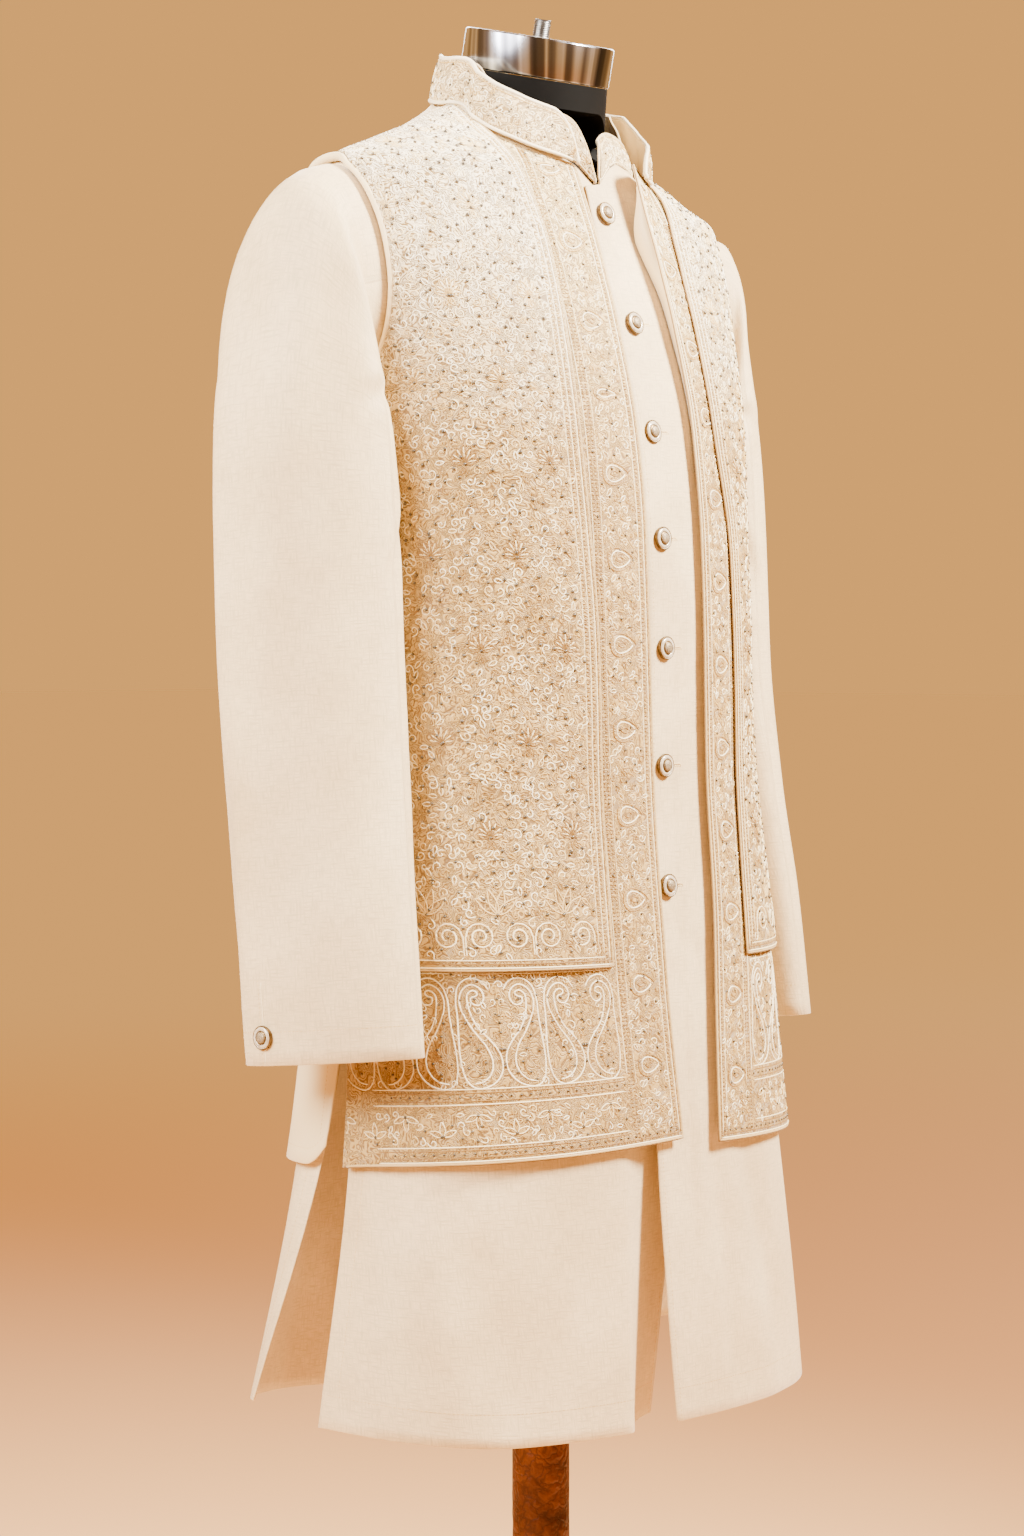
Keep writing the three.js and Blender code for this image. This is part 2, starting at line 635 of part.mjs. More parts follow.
function addButton(name, place, normal) {
  const mesh = add(name, buttonShape(), pearlAndGilt());
  mesh.quaternion.setFromUnitVectors(new THREE.Vector3(0, 0, 1), normal);
  mesh.position.copy(place).addScaledVector(normal, seamGap + 0.2);
}

// A place on the kurta's front, which runs straight from one of its rows to the next.
function frontPlace(x, z) {
  const rows = rowHeights(kurtaHem, kurtaPanel.rows, kurtaPanel.grow, shoulderRow);
  const above = rows.findIndex((row) => row > z);
  const ends = [rows[above - 1], rows[above]];
  const [low, high] = ends.map((row) => bodyPoint(angleAtX(x, row), row));
  return low.lerp(high, (z - ends[0]) / (ends[1] - ends[0]));
}

frontButtons.forEach(({ x, z }, k) => {
  addButton(`kurta_button_${k + 1}`, frontPlace(x, z), bodyNormal(angleAtX(x, z), z));
});

// A cuff button lies on the back of the sleeve, a little above its end.
for (const [name, side] of [['right', -1], ['left', 1]]) {
  const [upper, lower] = sleeveRings.slice(-2);
  const column = Math.floor(cuffButton.turn * armholeSteps);
  const onRing = (ring, k) => sleevePoint(side, ring, (column + k) / armholeSteps, 1);
  const across = (ring) => onRing(ring, 0).lerp(onRing(ring, 1), cuffButton.turn * armholeSteps - column);
  const place = across(lower).lerp(across(upper), cuffButton.upFromCuff / (upper.outZ - lower.outZ));
  const round = onRing(lower, 1).sub(onRing(lower, 0));
  const normal = onRing(upper, 0).sub(onRing(lower, 0)).cross(round).multiplyScalar(-side).normalize();
  addButton(`cuff_button_${name}`, place, normal);
}

// ---- dress form and stand ----

// A closed solid through level or tilted rings, each a function of the share of a turn.
function ringSolid(rings, columns) {
  const positions = [];
  for (const ring of rings) {
    for (let i = 0; i < columns; i += 1) positions.push(...ring(i / columns).toArray());
  }
  const middle = (ring) => ring(0).add(ring(0.5)).multiplyScalar(0.5);
  positions.push(...middle(rings[0]).toArray(), ...middle(rings[rings.length - 1]).toArray());
  const low = rings.length * columns;
  const corner = (i, j) => j * columns + (i % columns);
  const faces = [];
  for (let i = 0; i < columns; i += 1) {
    for (let j = 0; j < rings.length - 1; j += 1) {
      faces.push(corner(i, j), corner(i + 1, j), corner(i + 1, j + 1));
      faces.push(corner(i, j), corner(i + 1, j + 1), corner(i, j + 1));
    }
    faces.push(low, corner(i + 1, 0), corner(i, 0));
    faces.push(low + 1, corner(i, rings.length - 1), corner(i + 1, rings.length - 1));
  }
  return closedGeometry(positions, faces);
}

// The form keeps well inside the cloth, and comes close under it along the shoulders.
function formPoint(angle, z) {
  const onRidge = Math.sin(angle * radians) ** 8 * ease((z - 1412) / 20);
  return clothPoint(angle, z, -kurtaCloth - mix(form.ease, form.shoulderEase, onRidge));
}

// The neck's axis leans forward, and its middle passes through the cap.
function neckRing(radius, z) {
  const lean = Math.tan(neck.tilt * radians);
  return (share) => {
    const angle = share * 360 * radians;
    const y = -radius * Math.cos(angle);
    const level = z + y * lean - (z === neck.footAt ? shoulderDrop(share * 360, z) : 0);
    return new THREE.Vector3(radius * Math.sin(angle), neck.middleAtTop + (neck.top - z) * lean + y, level);
  };
}

const hipRings = [
  { z: form.bottom, halfWidth: 150, front: -92, back: 100 },
  { z: 760, halfWidth: 166, front: -104, back: 112 },
];
const formRings = [
  ...hipRings.map((hip) => (share) => {
    const angle = share * 360 * radians;
    const depth = Math.cos(angle) > 0 ? -hip.front : hip.back;
    return new THREE.Vector3(hip.halfWidth * Math.sin(angle), -depth * Math.cos(angle), hip.z);
  }),
  ...formRows.map((z) => (share) => formPoint(share * 360, z)),
  neckRing(neck.foot, neck.footAt),
  neckRing(neck.radius, neck.top),
];
add('form_torso', ringSolid(formRings, form.columns), blackForm());

const capTurn = new THREE.Group();
capTurn.rotation.x = neck.tilt * radians;
capTurn.position.set(0, neck.middleAtTop, neck.top);
group.add(capTurn);

function upright(radius, height, base, sides) {
  const geometry = new THREE.CylinderGeometry(radius, radius, height, sides);
  return geometry.rotateX(90 * radians).translate(0, 0, base + height / 2);
}

const capMesh = add('form_neck_cap', upright(cap.radius, cap.height, seamGap, sides.cap), polishedSteel());
const studBase = 2 * seamGap + cap.height;
const studMesh = add('form_cap_stud', upright(cap.stud, cap.studLength, studBase, sides.stud), darkSteel());
capTurn.add(capMesh, studMesh);

const poleBase = stand.baseHeight + seamGap;
const poleHeight = form.bottom - seamGap - poleBase;
add('stand_pole', upright(stand.poleRadius, poleHeight, poleBase, sides.pole), wrappedPole());
const baseProfile = [
  [0, 0],
  [stand.baseRadius, 0],
  [stand.baseRadius, 0.6 * stand.baseHeight],
  [stand.baseRadius - stand.baseBevel, stand.baseHeight],
  [0, stand.baseHeight],
];
add('stand_base', turnedShape(baseProfile, sides.base), baseEnamel());

export default group;
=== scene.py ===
import bisect
import json
import math
import random
from functools import lru_cache

import bmesh
import bpy
from mathutils import Matrix, Vector, noise

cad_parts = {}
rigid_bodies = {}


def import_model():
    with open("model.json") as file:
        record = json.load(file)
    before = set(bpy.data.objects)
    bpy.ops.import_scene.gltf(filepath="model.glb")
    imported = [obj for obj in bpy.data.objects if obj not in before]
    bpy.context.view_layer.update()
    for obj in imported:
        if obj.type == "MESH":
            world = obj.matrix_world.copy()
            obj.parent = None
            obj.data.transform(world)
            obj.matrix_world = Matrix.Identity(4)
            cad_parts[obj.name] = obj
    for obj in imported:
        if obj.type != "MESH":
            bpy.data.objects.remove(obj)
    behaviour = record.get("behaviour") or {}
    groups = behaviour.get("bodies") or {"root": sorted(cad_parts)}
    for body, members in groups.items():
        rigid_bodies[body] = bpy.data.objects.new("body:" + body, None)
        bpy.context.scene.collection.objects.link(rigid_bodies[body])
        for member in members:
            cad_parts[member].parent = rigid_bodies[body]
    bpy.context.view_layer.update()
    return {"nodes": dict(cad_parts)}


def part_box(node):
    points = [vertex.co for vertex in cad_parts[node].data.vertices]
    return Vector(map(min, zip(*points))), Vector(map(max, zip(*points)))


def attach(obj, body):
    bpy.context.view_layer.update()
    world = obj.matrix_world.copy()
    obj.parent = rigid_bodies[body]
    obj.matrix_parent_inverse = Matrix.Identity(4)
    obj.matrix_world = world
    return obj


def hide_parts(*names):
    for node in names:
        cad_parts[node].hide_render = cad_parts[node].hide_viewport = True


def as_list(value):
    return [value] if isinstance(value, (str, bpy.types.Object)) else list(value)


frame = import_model()
mm = 0.001


# Node trees. An entry takes a value or another node's output.
def feed(tree, entry, value):
    if isinstance(value, bpy.types.NodeSocket):
        tree.links.new(value, entry)
    elif entry.type == "RGBA":
        entry.default_value = (*value, 1)
    else:
        entry.default_value = value


# Settings are the node's own or its named inputs. Pairs are its inputs by number.
def addNode(tree, kind, *pairs, **settings):
    node = tree.nodes.new("ShaderNode" + kind)
    for key, value in settings.items():
        if hasattr(node, key):
            setattr(node, key, value)
        else:
            feed(tree, node.inputs[key.replace("_", " ")], value)
    for number, value in pairs:
        feed(tree, node.inputs[number], value)
    return node


def mixColours(tree, factor, low, high, kind="MIX"):
    blend = addNode(tree, "Mix", (0, factor), (6, low), (7, high), data_type="RGBA", blend_type=kind)
    return blend.outputs[2]


def objectPlace(tree):
    return addNode(tree, "TexCoord").outputs["Object"]


def newMaterial(name, roughness, **looks):
    material = bpy.data.materials.new(name)
    material.use_nodes = True
    shader = material.node_tree.nodes["Principled BSDF"].inputs
    shader["Roughness"].default_value = roughness
    for label, value in looks.items():
        shader[label.replace("_", " ")].default_value = value
    return material, material.node_tree, shader


# The camera stands at eye height on the figure's right. Distances in metres, angles in degrees.
cameraPlace = {"azimuth": -48, "distance": 3.0, "height": 1.066, "lens": 91.3, "farthest": 100,
               "aim": (-0.0149, 0.0166, 0.9674)}
stage = {
    "floor": 120.0, "near": (0.97, 0.60, 0.27), "nearTo": 1.4,
    "far": (0.99, 0.98, 0.97), "farFrom": 9.0, "floorRoughness": 0.9,
    "aim": (0, 0, 1.36), "spread": 75, "world": (1.0, 0.46, 0.11),
    # where each lamp stands, its size, power and colour
    "lamps": {"keyLamp": ((1.0, -1.9, 2.9), 0.9, 114, (1, 0.94, 0.83)),
              "fillLamp": ((-2.3, 0.2, 2.5), 2.0, 84, (1, 0.95, 0.87)),
              "backLamp": ((2.0, 1.7, 2.4), 1.6, 20, (1, 0.95, 0.86))},
}


def putObject(name, data, place, aim):
    thing = bpy.data.objects.new(name, data)
    thing.location = place
    thing.rotation_euler = (Vector(aim) - Vector(place)).to_track_quat("-Z", "Y").to_euler()
    bpy.context.collection.objects.link(thing)
    return thing


def addCamera(place):
    turn = math.radians(place["azimuth"])
    data = bpy.data.cameras.new("camera")
    data.lens = place["lens"]
    data.clip_end = place["farthest"]
    spot = (place["distance"] * math.sin(turn), -place["distance"] * math.cos(turn), place["height"])
    bpy.context.scene.camera = putObject("camera", data, spot, place["aim"])


# The floor is pale tan near the figure and takes the backdrop's tone far away.
def floorMaterial(shape):
    material, tree, shader = newMaterial("floorPaint", shape["floorRoughness"])
    reach = addNode(tree, "VectorMath", (0, objectPlace(tree)), operation="LENGTH")
    share = addNode(tree, "MapRange", interpolation_type="SMOOTHSTEP", Value=reach.outputs["Value"],
                    From_Min=shape["nearTo"], From_Max=shape["farFrom"])
    feed(tree, shader["Base Color"],
         mixColours(tree, share.outputs["Result"], shape["near"], shape["far"]))
    return material


def addStage(shape):
    bpy.ops.mesh.primitive_plane_add(size=shape["floor"])
    floor = bpy.context.object
    floor.name = "floor"
    floor.data.materials.append(floorMaterial(shape))
    for name, (place, size, power, colour) in shape["lamps"].items():
        data = bpy.data.lights.new(name, "AREA")
        data.spread = math.radians(shape["spread"])
        data.shape = "DISK"
        data.size, data.energy, data.color = size, power, colour
        putObject(name, data, place, shape["aim"])
    world = bpy.data.worlds.new("studio")
    world.use_nodes = True
    world.node_tree.nodes["Background"].inputs["Color"].default_value = (*shape["world"], 1)
    world.node_tree.nodes["Background"].inputs["Strength"].default_value = 1.0
    bpy.context.scene.world = world


addCamera(cameraPlace)
addStage(stage)
print("camera and stage are in")


# Two effects are shared by the materials: woven slubs and a soft change of shade.
def newGroup(name, inputs, outputs):
    group = bpy.data.node_groups.new(name, "ShaderNodeTree")
    for way, sockets in (("INPUT", inputs), ("OUTPUT", outputs)):
        for label, kind in sockets.items():
            group.interface.new_socket(label, in_out=way, socket_type="NodeSocket" + kind)
    return group, group.nodes.new("NodeGroupInput").outputs, group.nodes.new("NodeGroupOutput").inputs


def makeWeaveGroup():
    group, entry, result = newGroup("wovenSlubs", {"Place": "Vector", "Threads": "Float"},
                                    {"Height": "Float", "Slub": "Float"})
    ways = []
    for stretch in ((0.12, 1, 1), (1, 0.12, 1)):
        scaled = addNode(group, "VectorMath", (0, entry["Place"]), (1, stretch), operation="MULTIPLY")
        threads = addNode(group, "TexNoise", Vector=scaled.outputs[0], Scale=entry["Threads"],
                          Detail=2.0, Roughness=0.6)
        ways.append(threads.outputs["Fac"])
    both = addNode(group, "Math", *enumerate(ways), operation="MAXIMUM").outputs[0]
    slub = addNode(group, "MapRange", Value=both, From_Min=0.42, From_Max=0.68, To_Min=1.0,
                   To_Max=0.5)
    feed(group, result["Height"], both)
    feed(group, result["Slub"], slub.outputs["Result"])
    return group


def makeShadeGroup():
    group, entry, result = newGroup(
        "softShade", {"Place": "Vector", "Size": "Float", "Low": "Color", "High": "Color"},
        {"Color": "Color"})
    cloud = addNode(group, "TexNoise", Vector=entry["Place"], Scale=entry["Size"], Detail=3.0,
                    Roughness=0.55)
    spread = addNode(group, "MapRange", Value=cloud.outputs["Fac"], From_Min=0.3, From_Max=0.7)
    feed(group, result["Color"],
         mixColours(group, spread.outputs["Result"], entry["Low"], entry["High"]))
    return group


weaveGroup = makeWeaveGroup()
shadeGroup = makeShadeGroup()


def softShade(tree, place, size, low, high):
    shade = addNode(tree, "Group", node_tree=shadeGroup, Place=place, Size=size, Low=low, High=high)
    return shade.outputs["Color"]


def bump(tree, shader, height, strength, distance):
    node = addNode(tree, "Bump", Height=height, Strength=strength, Distance=distance)
    feed(tree, shader["Normal"], node.outputs["Normal"])


def colourRamp(tree, source, stops):
    ramp = addNode(tree, "ValToRGB", Fac=source)
    elements = ramp.color_ramp.elements
    while len(elements) < len(stops):
        elements.new(0.5)
    for element, (at, colour) in zip(elements, stops):
        element.position = at
        element.color = (*colour, 1)
    return ramp.outputs["Color"]


# Plain woven cloth on its own UV map.
def wovenCloth(name, low, high, threads, roughness, sheen, strength, slub):
    material, tree, shader = newMaterial(name, roughness, Sheen_Weight=sheen)
    place = addNode(tree, "UVMap").outputs["UV"]
    weave = addNode(tree, "Group", node_tree=weaveGroup, Place=place, Threads=threads).outputs
    shade = softShade(tree, place, 9, low, high)
    feed(tree, shader["Base Color"], mixColours(tree, slub, shade, weave["Slub"], "MULTIPLY"))
    bump(tree, shader, weave["Height"], strength, 0.0004)
    return material


# The embroidered ground: cords couched in close winding rows, ivory over gold, with painted shade in
# the gaps between them. It pales towards the shoulders: partly the gilding thinning upwards, partly
# a painted highlight where light falls from above.
def embroideredGround(name, deep, gold, pale, shoulder):
    material, tree, shader = newMaterial(name, 0.58, Sheen_Weight=0.25)
    place = addNode(tree, "UVMap").outputs["UV"]
    hills = addNode(tree, "TexNoise", Vector=place, Scale=95.0, Detail=1.0, Distortion=0.9)
    rows = addNode(tree, "Math", (0, hills.outputs["Fac"]), (1, 11.0), operation="MULTIPLY")
    cords = addNode(tree, "Math", (0, rows.outputs[0]), (1, 0.5), operation="PINGPONG")
    cells = addNode(tree, "TexVoronoi", Vector=place, Scale=620.0, Randomness=0.9)
    height = addNode(tree, "Math", (0, cells.outputs["Distance"]), (1, -0.22), (2, cords.outputs[0]),
                     operation="MULTIPLY_ADD").outputs[0]
    # The deep colour between the cords is painted shade.
    onCord = addNode(tree, "MapRange", Value=height, From_Max=0.17).outputs["Result"]
    # Higher up, the cords pale towards the shoulder colour and the painted gap shade lightens: partly
    # real, partly painted highlight from above.
    spot = addNode(tree, "SeparateXYZ", Vector=objectPlace(tree))
    upper = addNode(tree, "MapRange", Value=spot.outputs["Z"], From_Min=1.20, From_Max=1.43,
                    To_Max=0.8).outputs["Result"]
    top = mixColours(tree, upper, softShade(tree, place, 30, gold, pale), shoulder)
    under = mixColours(tree, upper, deep, tuple(0.6 * a for a in gold))
    feed(tree, shader["Base Color"], mixColours(tree, onCord, under, top))
    bump(tree, shader, height, 0.75, 0.0012)
    return material


# Couched thread: the colour follows each cord's tone, which also carries a painted paling with height,
# and the twist runs along its UV map.
def threadedCord(name):
    material, tree, shader = newMaterial(name, 0.5, Sheen_Weight=0.15)
    tone = addNode(tree, "Attribute", attribute_name="tone")
    stops = [(0.0, (0.985, 0.92, 0.74)), (0.3, (0.92, 0.76, 0.43)), (0.7, (0.60, 0.38, 0.09)),
             (1.0, (0.26, 0.125, 0.012))]
    feed(tree, shader["Base Color"], colourRamp(tree, tone.outputs["Fac"], stops))
    twist = addNode(tree, "TexWave", Vector=addNode(tree, "UVMap").outputs["UV"], Scale=110.0,
                    Distortion=0.6)
    bump(tree, shader, twist.outputs["Fac"], 0.35, 0.0003)
    return material


def facetedStone(name):
    material, tree, shader = newMaterial(name, 0.3, Coat_Weight=0.1)
    feed(tree, shader["Base Color"],
         softShade(tree, objectPlace(tree), 420, (0.022, 0.016, 0.010), (0.15, 0.105, 0.055)))
    return material


# Polished steel drawn round its axis, with painted reflections in broad light and dark stripes.
def turnedSteel(name):
    material, tree, shader = newMaterial(name, 0.2, Metallic=1.0)
    place = objectPlace(tree)
    spot = addNode(tree, "SeparateXYZ", Vector=place).outputs
    turn = addNode(tree, "Math", (0, spot["X"]), (1, spot["Y"]), operation="ARCTAN2")
    reflectionBands = addNode(tree, "TexNoise", noise_dimensions="1D", W=turn.outputs[0], Scale=1.9, Detail=2.0,
                    Roughness=0.55)
    # Painted reflection: dark, bright and dark stripes round the axis, as if the steel mirrored the
    # studio.
    stops = [(0.36, (0.030, 0.031, 0.040)), (0.45, (0.14, 0.145, 0.18)), (0.52, (0.62, 0.68, 0.84)),
             (0.60, (0.19, 0.20, 0.25)), (0.70, (0.06, 0.062, 0.078))]
    feed(tree, shader["Base Color"], colourRamp(tree, reflectionBands.outputs["Fac"], stops))
    stretched = addNode(tree, "VectorMath", (0, place), (1, (40, 40, 2200)), operation="MULTIPLY")
    brushed = addNode(tree, "TexNoise", Vector=stretched.outputs[0], Scale=1.0, Detail=2.0)
    bump(tree, shader, brushed.outputs["Fac"], 0.08, 0.0002)
    return material


def wrappedPole(name):
    material, tree, shader = newMaterial(name, 0.5, Specular_IOR_Level=0.15)
    place = objectPlace(tree)
    shade = softShade(tree, place, 34, (0.05, 0.010, 0.0006), (0.16, 0.040, 0.003))
    warp = addNode(tree, "TexNoise", Vector=place, Scale=60.0, Detail=3.0)
    moved = addNode(tree, "Mix", (0, 0.03), (4, place), (5, warp.outputs["Color"]),
                    data_type="VECTOR")
    folds = addNode(tree, "TexVoronoi", feature="DISTANCE_TO_EDGE", Vector=moved.outputs[1],
                    Scale=85.0).outputs["Distance"]
    # Painted shade darkens the wrap along its crease lines.
    dark = addNode(tree, "MapRange", Value=folds, From_Max=0.12, To_Min=0.45).outputs["Result"]
    feed(tree, shader["Base Color"], mixColours(tree, 0.75, shade, dark, "MULTIPLY"))
    bump(tree, shader, folds, 0.7, 0.004)
    return material


# A paint, moulding or pearl: a colour that varies a little, over a fine uneven surface.
def variedPaint(name, low, high, size, roughness, grain=900.0, strength=0.1, **looks):
    material, tree, shader = newMaterial(name, roughness, **looks)
    place = objectPlace(tree)
    feed(tree, shader["Base Color"], softShade(tree, place, size, low, high))
    fine = addNode(tree, "TexNoise", Vector=place, Scale=grain, Detail=2.0)
    bump(tree, shader, fine.outputs["Fac"], strength, 0.0003)
    return material


# Woven cloths: two shades, threads a metre, roughness, sheen, relief and how dark the slubs are.
kurtaSilk = wovenCloth("kurtaSilk", (0.65, 0.48, 0.25), (0.85, 0.67, 0.39), 700, 0.6, 0.3, 0.8, 0.45)
jacketPlain = wovenCloth("jacketSatin", (0.78, 0.60, 0.31), (0.86, 0.70, 0.41), 2200, 0.45, 0.35,
                         0.12, 0.06)
pipingSilk = wovenCloth("pipingSilk", (0.82, 0.70, 0.46), (0.90, 0.80, 0.58), 1800, 0.5, 0.3, 0.2,
                        0.06)
edgingSilk = wovenCloth("edgingSilk", (0.50, 0.34, 0.12), (0.66, 0.48, 0.20), 1800, 0.5, 0.3, 0.2,
                        0.06)
# A dark cord colour for the painted shadow lines beside the fronts' piping.
shadowLineCord = wovenCloth("shadowLineCord", (0.16, 0.075, 0.012), (0.28, 0.15, 0.03), 2000, 0.6, 0.1,
                         0.2, 0.1)
# Embroidered grounds: the painted shade between the cords, two shades of cord, and the colour at the
# shoulders, which is partly a painted highlight.
jacketCloth = embroideredGround("jacketGround", (0.18, 0.09, 0.011), (0.38, 0.23, 0.05),
                                (0.58, 0.385, 0.12), (0.985, 0.90, 0.67))
# The long fronts' copy stays darker at the top: painted shade where they lie near the collar.
longCloth = embroideredGround("longFrontGround", (0.20, 0.10, 0.013), (0.40, 0.245, 0.055),
                              (0.54, 0.35, 0.105), (0.84, 0.66, 0.31))
collarCloth = embroideredGround("collarGround", (0.22, 0.12, 0.02), (0.46, 0.29, 0.085),
                                (0.67, 0.48, 0.21), (0.78, 0.60, 0.32))
threadMaterial = threadedCord("couchedThread")
stoneMaterial = facetedStone("darkStones")
steelMaterial = turnedSteel("turnedSteel")
poleMaterial = wrappedPole("wrappedPole")
studMaterial = variedPaint("darkSteel", (0.10, 0.095, 0.09), (0.22, 0.21, 0.20), 300, 0.38,
                           Metallic=1.0)
formMaterial = variedPaint("blackForm", (0.0018, 0.0016, 0.0015), (0.0035, 0.0032, 0.003), 30, 0.7,
                           1400, Specular_IOR_Level=0.08)
enamelMaterial = variedPaint("baseEnamel", (0.014, 0.012, 0.011), (0.03, 0.026, 0.022), 40, 0.4,
                             Coat_Weight=0.2)
giltMaterial = variedPaint("buttonGilt", (0.07, 0.042, 0.018), (0.26, 0.165, 0.065), 420, 0.36,
                           Metallic=1.0)
pearlMaterial = variedPaint("buttonPearl", (0.42, 0.33, 0.22), (0.74, 0.65, 0.50), 260, 0.25, 500,
                            0.2, Metallic=0.1, Coat_Weight=0.5)
champagneMaterial = variedPaint("buttonCentre", (0.10, 0.066, 0.03), (0.42, 0.32, 0.19), 900, 0.5,
                                900, 1.0, Metallic=0.3)
print("materials done")

# The body's shape under the kurta, in millimetres: height, half width, front, side, back, roundness.
bodyRings = [
    (440, 256, -154, 0, 119, 2.1), (480, 249, -152, 0, 118, 2.25), (690, 209, -140, 2, 116, 2.55),
    (830, 197, -130, 5, 112, 2.5), (972, 181, -122, 9, 104, 2.4), (1060, 174, -122, 12, 98, 2.45),
    (1141, 174, -119, 15, 100, 2.45), (1221, 184, -110, 20, 107, 2.4),
    (1303, 193, -91, 27, 112, 2.4), (1345, 197, -78, 31, 113, 2.4), (1384, 199, -65, 34, 110, 2.2),
    (1412, 193, -57, 34, 103, 2.1), (1432, 157, -51, 24, 98, 2.0), (1450, 119, -31, 10, 89, 2.0),
    (1468, 88, -16, 4, 80, 2.0), (1486, 69, -10, 3, 73, 2.0),
]
shoulderRow = 1468
shoulderPoint = 87
neckline = [(0, 1409), (16, 1427), (42, 1436), (60, 1445), (75, 1456), (87, shoulderRow - 0.1),
            (90, shoulderRow), (128, 1479), (180, 1483)]
necklineByHeight = [(z, angle) for angle, z in neckline]
armhole = {"bottom": 1249, "top": 1416, "front": 48, "back": 54, "binding": 3}
armholeMiddle = (armhole["bottom"] + armhole["top"]) / 2
armholeHalf = (armhole["top"] - armhole["bottom"]) / 2
jacketNeckDrop = 6
kurtaSlit = {"top": 850, "hem": 482, "ahead": 4, "behind": 44}
jacketSlit = {"top": 835, "hem": 678, "ahead": 3, "behind": 10}
cloth = {"kurta": 1.2, "jacket": 1.8}


# A smooth curve through one column of a table, level beyond its ends and without overshoot.
def readAt(table, at, column):
    if at <= table[0][0]:
        return table[0][column]
    if at >= table[-1][0]:
        return table[-1][column]
    i = 0
    while at > table[i + 1][0]:
        i += 1

    def rise(k):
        return (table[k + 1][column] - table[k][column]) / (table[k + 1][0] - table[k][0])

    def slope(k):
        if k == 0 or k == len(table) - 1:
            return rise(min(k, len(table) - 2))
        before, after = rise(k - 1), rise(k)
        return 0 if before * after <= 0 else 2 * before * after / (before + after)

    step = table[i + 1][0] - table[i][0]
    t = (at - table[i][0]) / step
    return (table[i][column] * (1 + 2 * t) * (1 - t) ** 2 + slope(i) * step * t * (1 - t) ** 2
            + table[i + 1][column] * t * t * (3 - 2 * t) + slope(i + 1) * step * t * t * (t - 1))


def mix(start, end, t):
    return start + (end - start) * t


def clamp(value, low=0.0, high=1.0):
    return min(high, max(low, value))


def ease(t):
    t = clamp(t)
    return t * t * (3 - 2 * t)


@lru_cache(maxsize=None)
def ringAt(z):
    return tuple(readAt(bodyRings, z, column) for column in range(1, 6))


# How far a direction points across to the wearer's left, and how far ahead. In degrees.
def directions(angle):
    turn = math.radians(angle)
    return math.sin(turn), math.cos(turn)


# The wearer's left shoulder hangs lower: how far, over which rows and angles.
leftShoulder = {"drop": 24, "from": 1380, "whole": 1425, "start": 17, "full": 61, "fade": 95}


def shoulderDrop(angle, z):
    shape = leftShoulder
    turn = angle + 360 if angle < -180 else angle
    share = ease((turn - shape["start"]) / (shape["full"] - shape["start"]))
    share *= ease((180 - turn) / shape["fade"])
    return shape["drop"] * share * ease((z - shape["from"]) / (shape["whole"] - shape["from"]))


# A place on the kurta's outer face. The angle is in degrees from the centre front, positive
# towards the wearer's left.
def bodyPoint(angle, z):
    halfWidth, front, side, back, roundness = ringAt(z)
    across, ahead = directions(angle)
    depth = side - front if ahead >= 0 else back - side
    total = abs(across / halfWidth) ** roundness + abs(ahead / depth) ** roundness
    reach = total ** (-1 / roundness)
    return Vector((reach * across, side - reach * ahead, z - shoulderDrop(angle, z)))


def bodyNormal(angle, z):
    around = bodyPoint(angle + 0.5, z) - bodyPoint(angle - 0.5, z)
    up = bodyPoint(angle, z + 1) - bodyPoint(angle, z - 1)
    return around.cross(up).normalized()


def clothPoint(angle, z, out):
    return bodyPoint(angle, z) + bodyNormal(angle, z) * out


# The angle at which the front of the ring at height z reaches x.
@lru_cache(maxsize=None)
def angleAtX(x, z):
    halfWidth, front, side, back, roundness = ringAt(z)
    share = min(abs(x) / halfWidth, 0.9999)
    return math.degrees(math.atan2(x, (side - front) * (1 - share ** roundness) ** (1 / roundness)))


# The angle, on the wearer's left, at which the ring at height z is so far behind the side line.
def angleAtDepth(behind, z):
    halfWidth, front, side, back, roundness = ringAt(z)
    depth = side - front if behind < 0 else back - side
    share = min(abs(behind) / depth, 0.9999)
    x = halfWidth * (1 - share ** roundness) ** (1 / roundness)
    return math.degrees(math.atan2(x, -behind))


# How far the side slits have opened at height z: 0 at their top, 1 at the hem.
def opening(slit, z):
    return clamp((slit["top"] - z) / (slit["top"] - slit["hem"]))


def outerAngle(z, isBack, slit, grow):
    turn = 1 if isBack else -1
    if abs(z - armholeMiddle) < armholeHalf + grow:
        t = (z - armholeMiddle) / (armholeHalf + grow)
        reach = (armhole["back"] if isBack else armhole["front"]) + grow
        return angleAtDepth(turn * max(reach * math.sqrt(max(0, 1 - t * t)), 0.01), z)
    spread = (slit["behind"] if isBack else slit["ahead"]) * opening(slit, z)
    return 90 + turn * math.degrees(spread / ringAt(z)[0])


# Rows of a panel: even steps up to the underarm, then round the armhole, then over the shoulder.
def panelRows(hem, top, grow, fineness=1.0):
    low = armholeMiddle - armholeHalf - grow
    high = armholeMiddle + armholeHalf + grow
    count = round((low - hem) / 8 * fineness)
    rows = [mix(hem, low, k / count) for k in range(count)]
    steps = round(44 * fineness)
    rows += [armholeMiddle + (armholeHalf + grow) * math.sin((k / steps - 0.5) * math.pi)
             for k in range(steps + 1)]
    above = round(12 * fineness)
    return rows + [mix(high, top, (k + 1) / above) for k in range(above)]


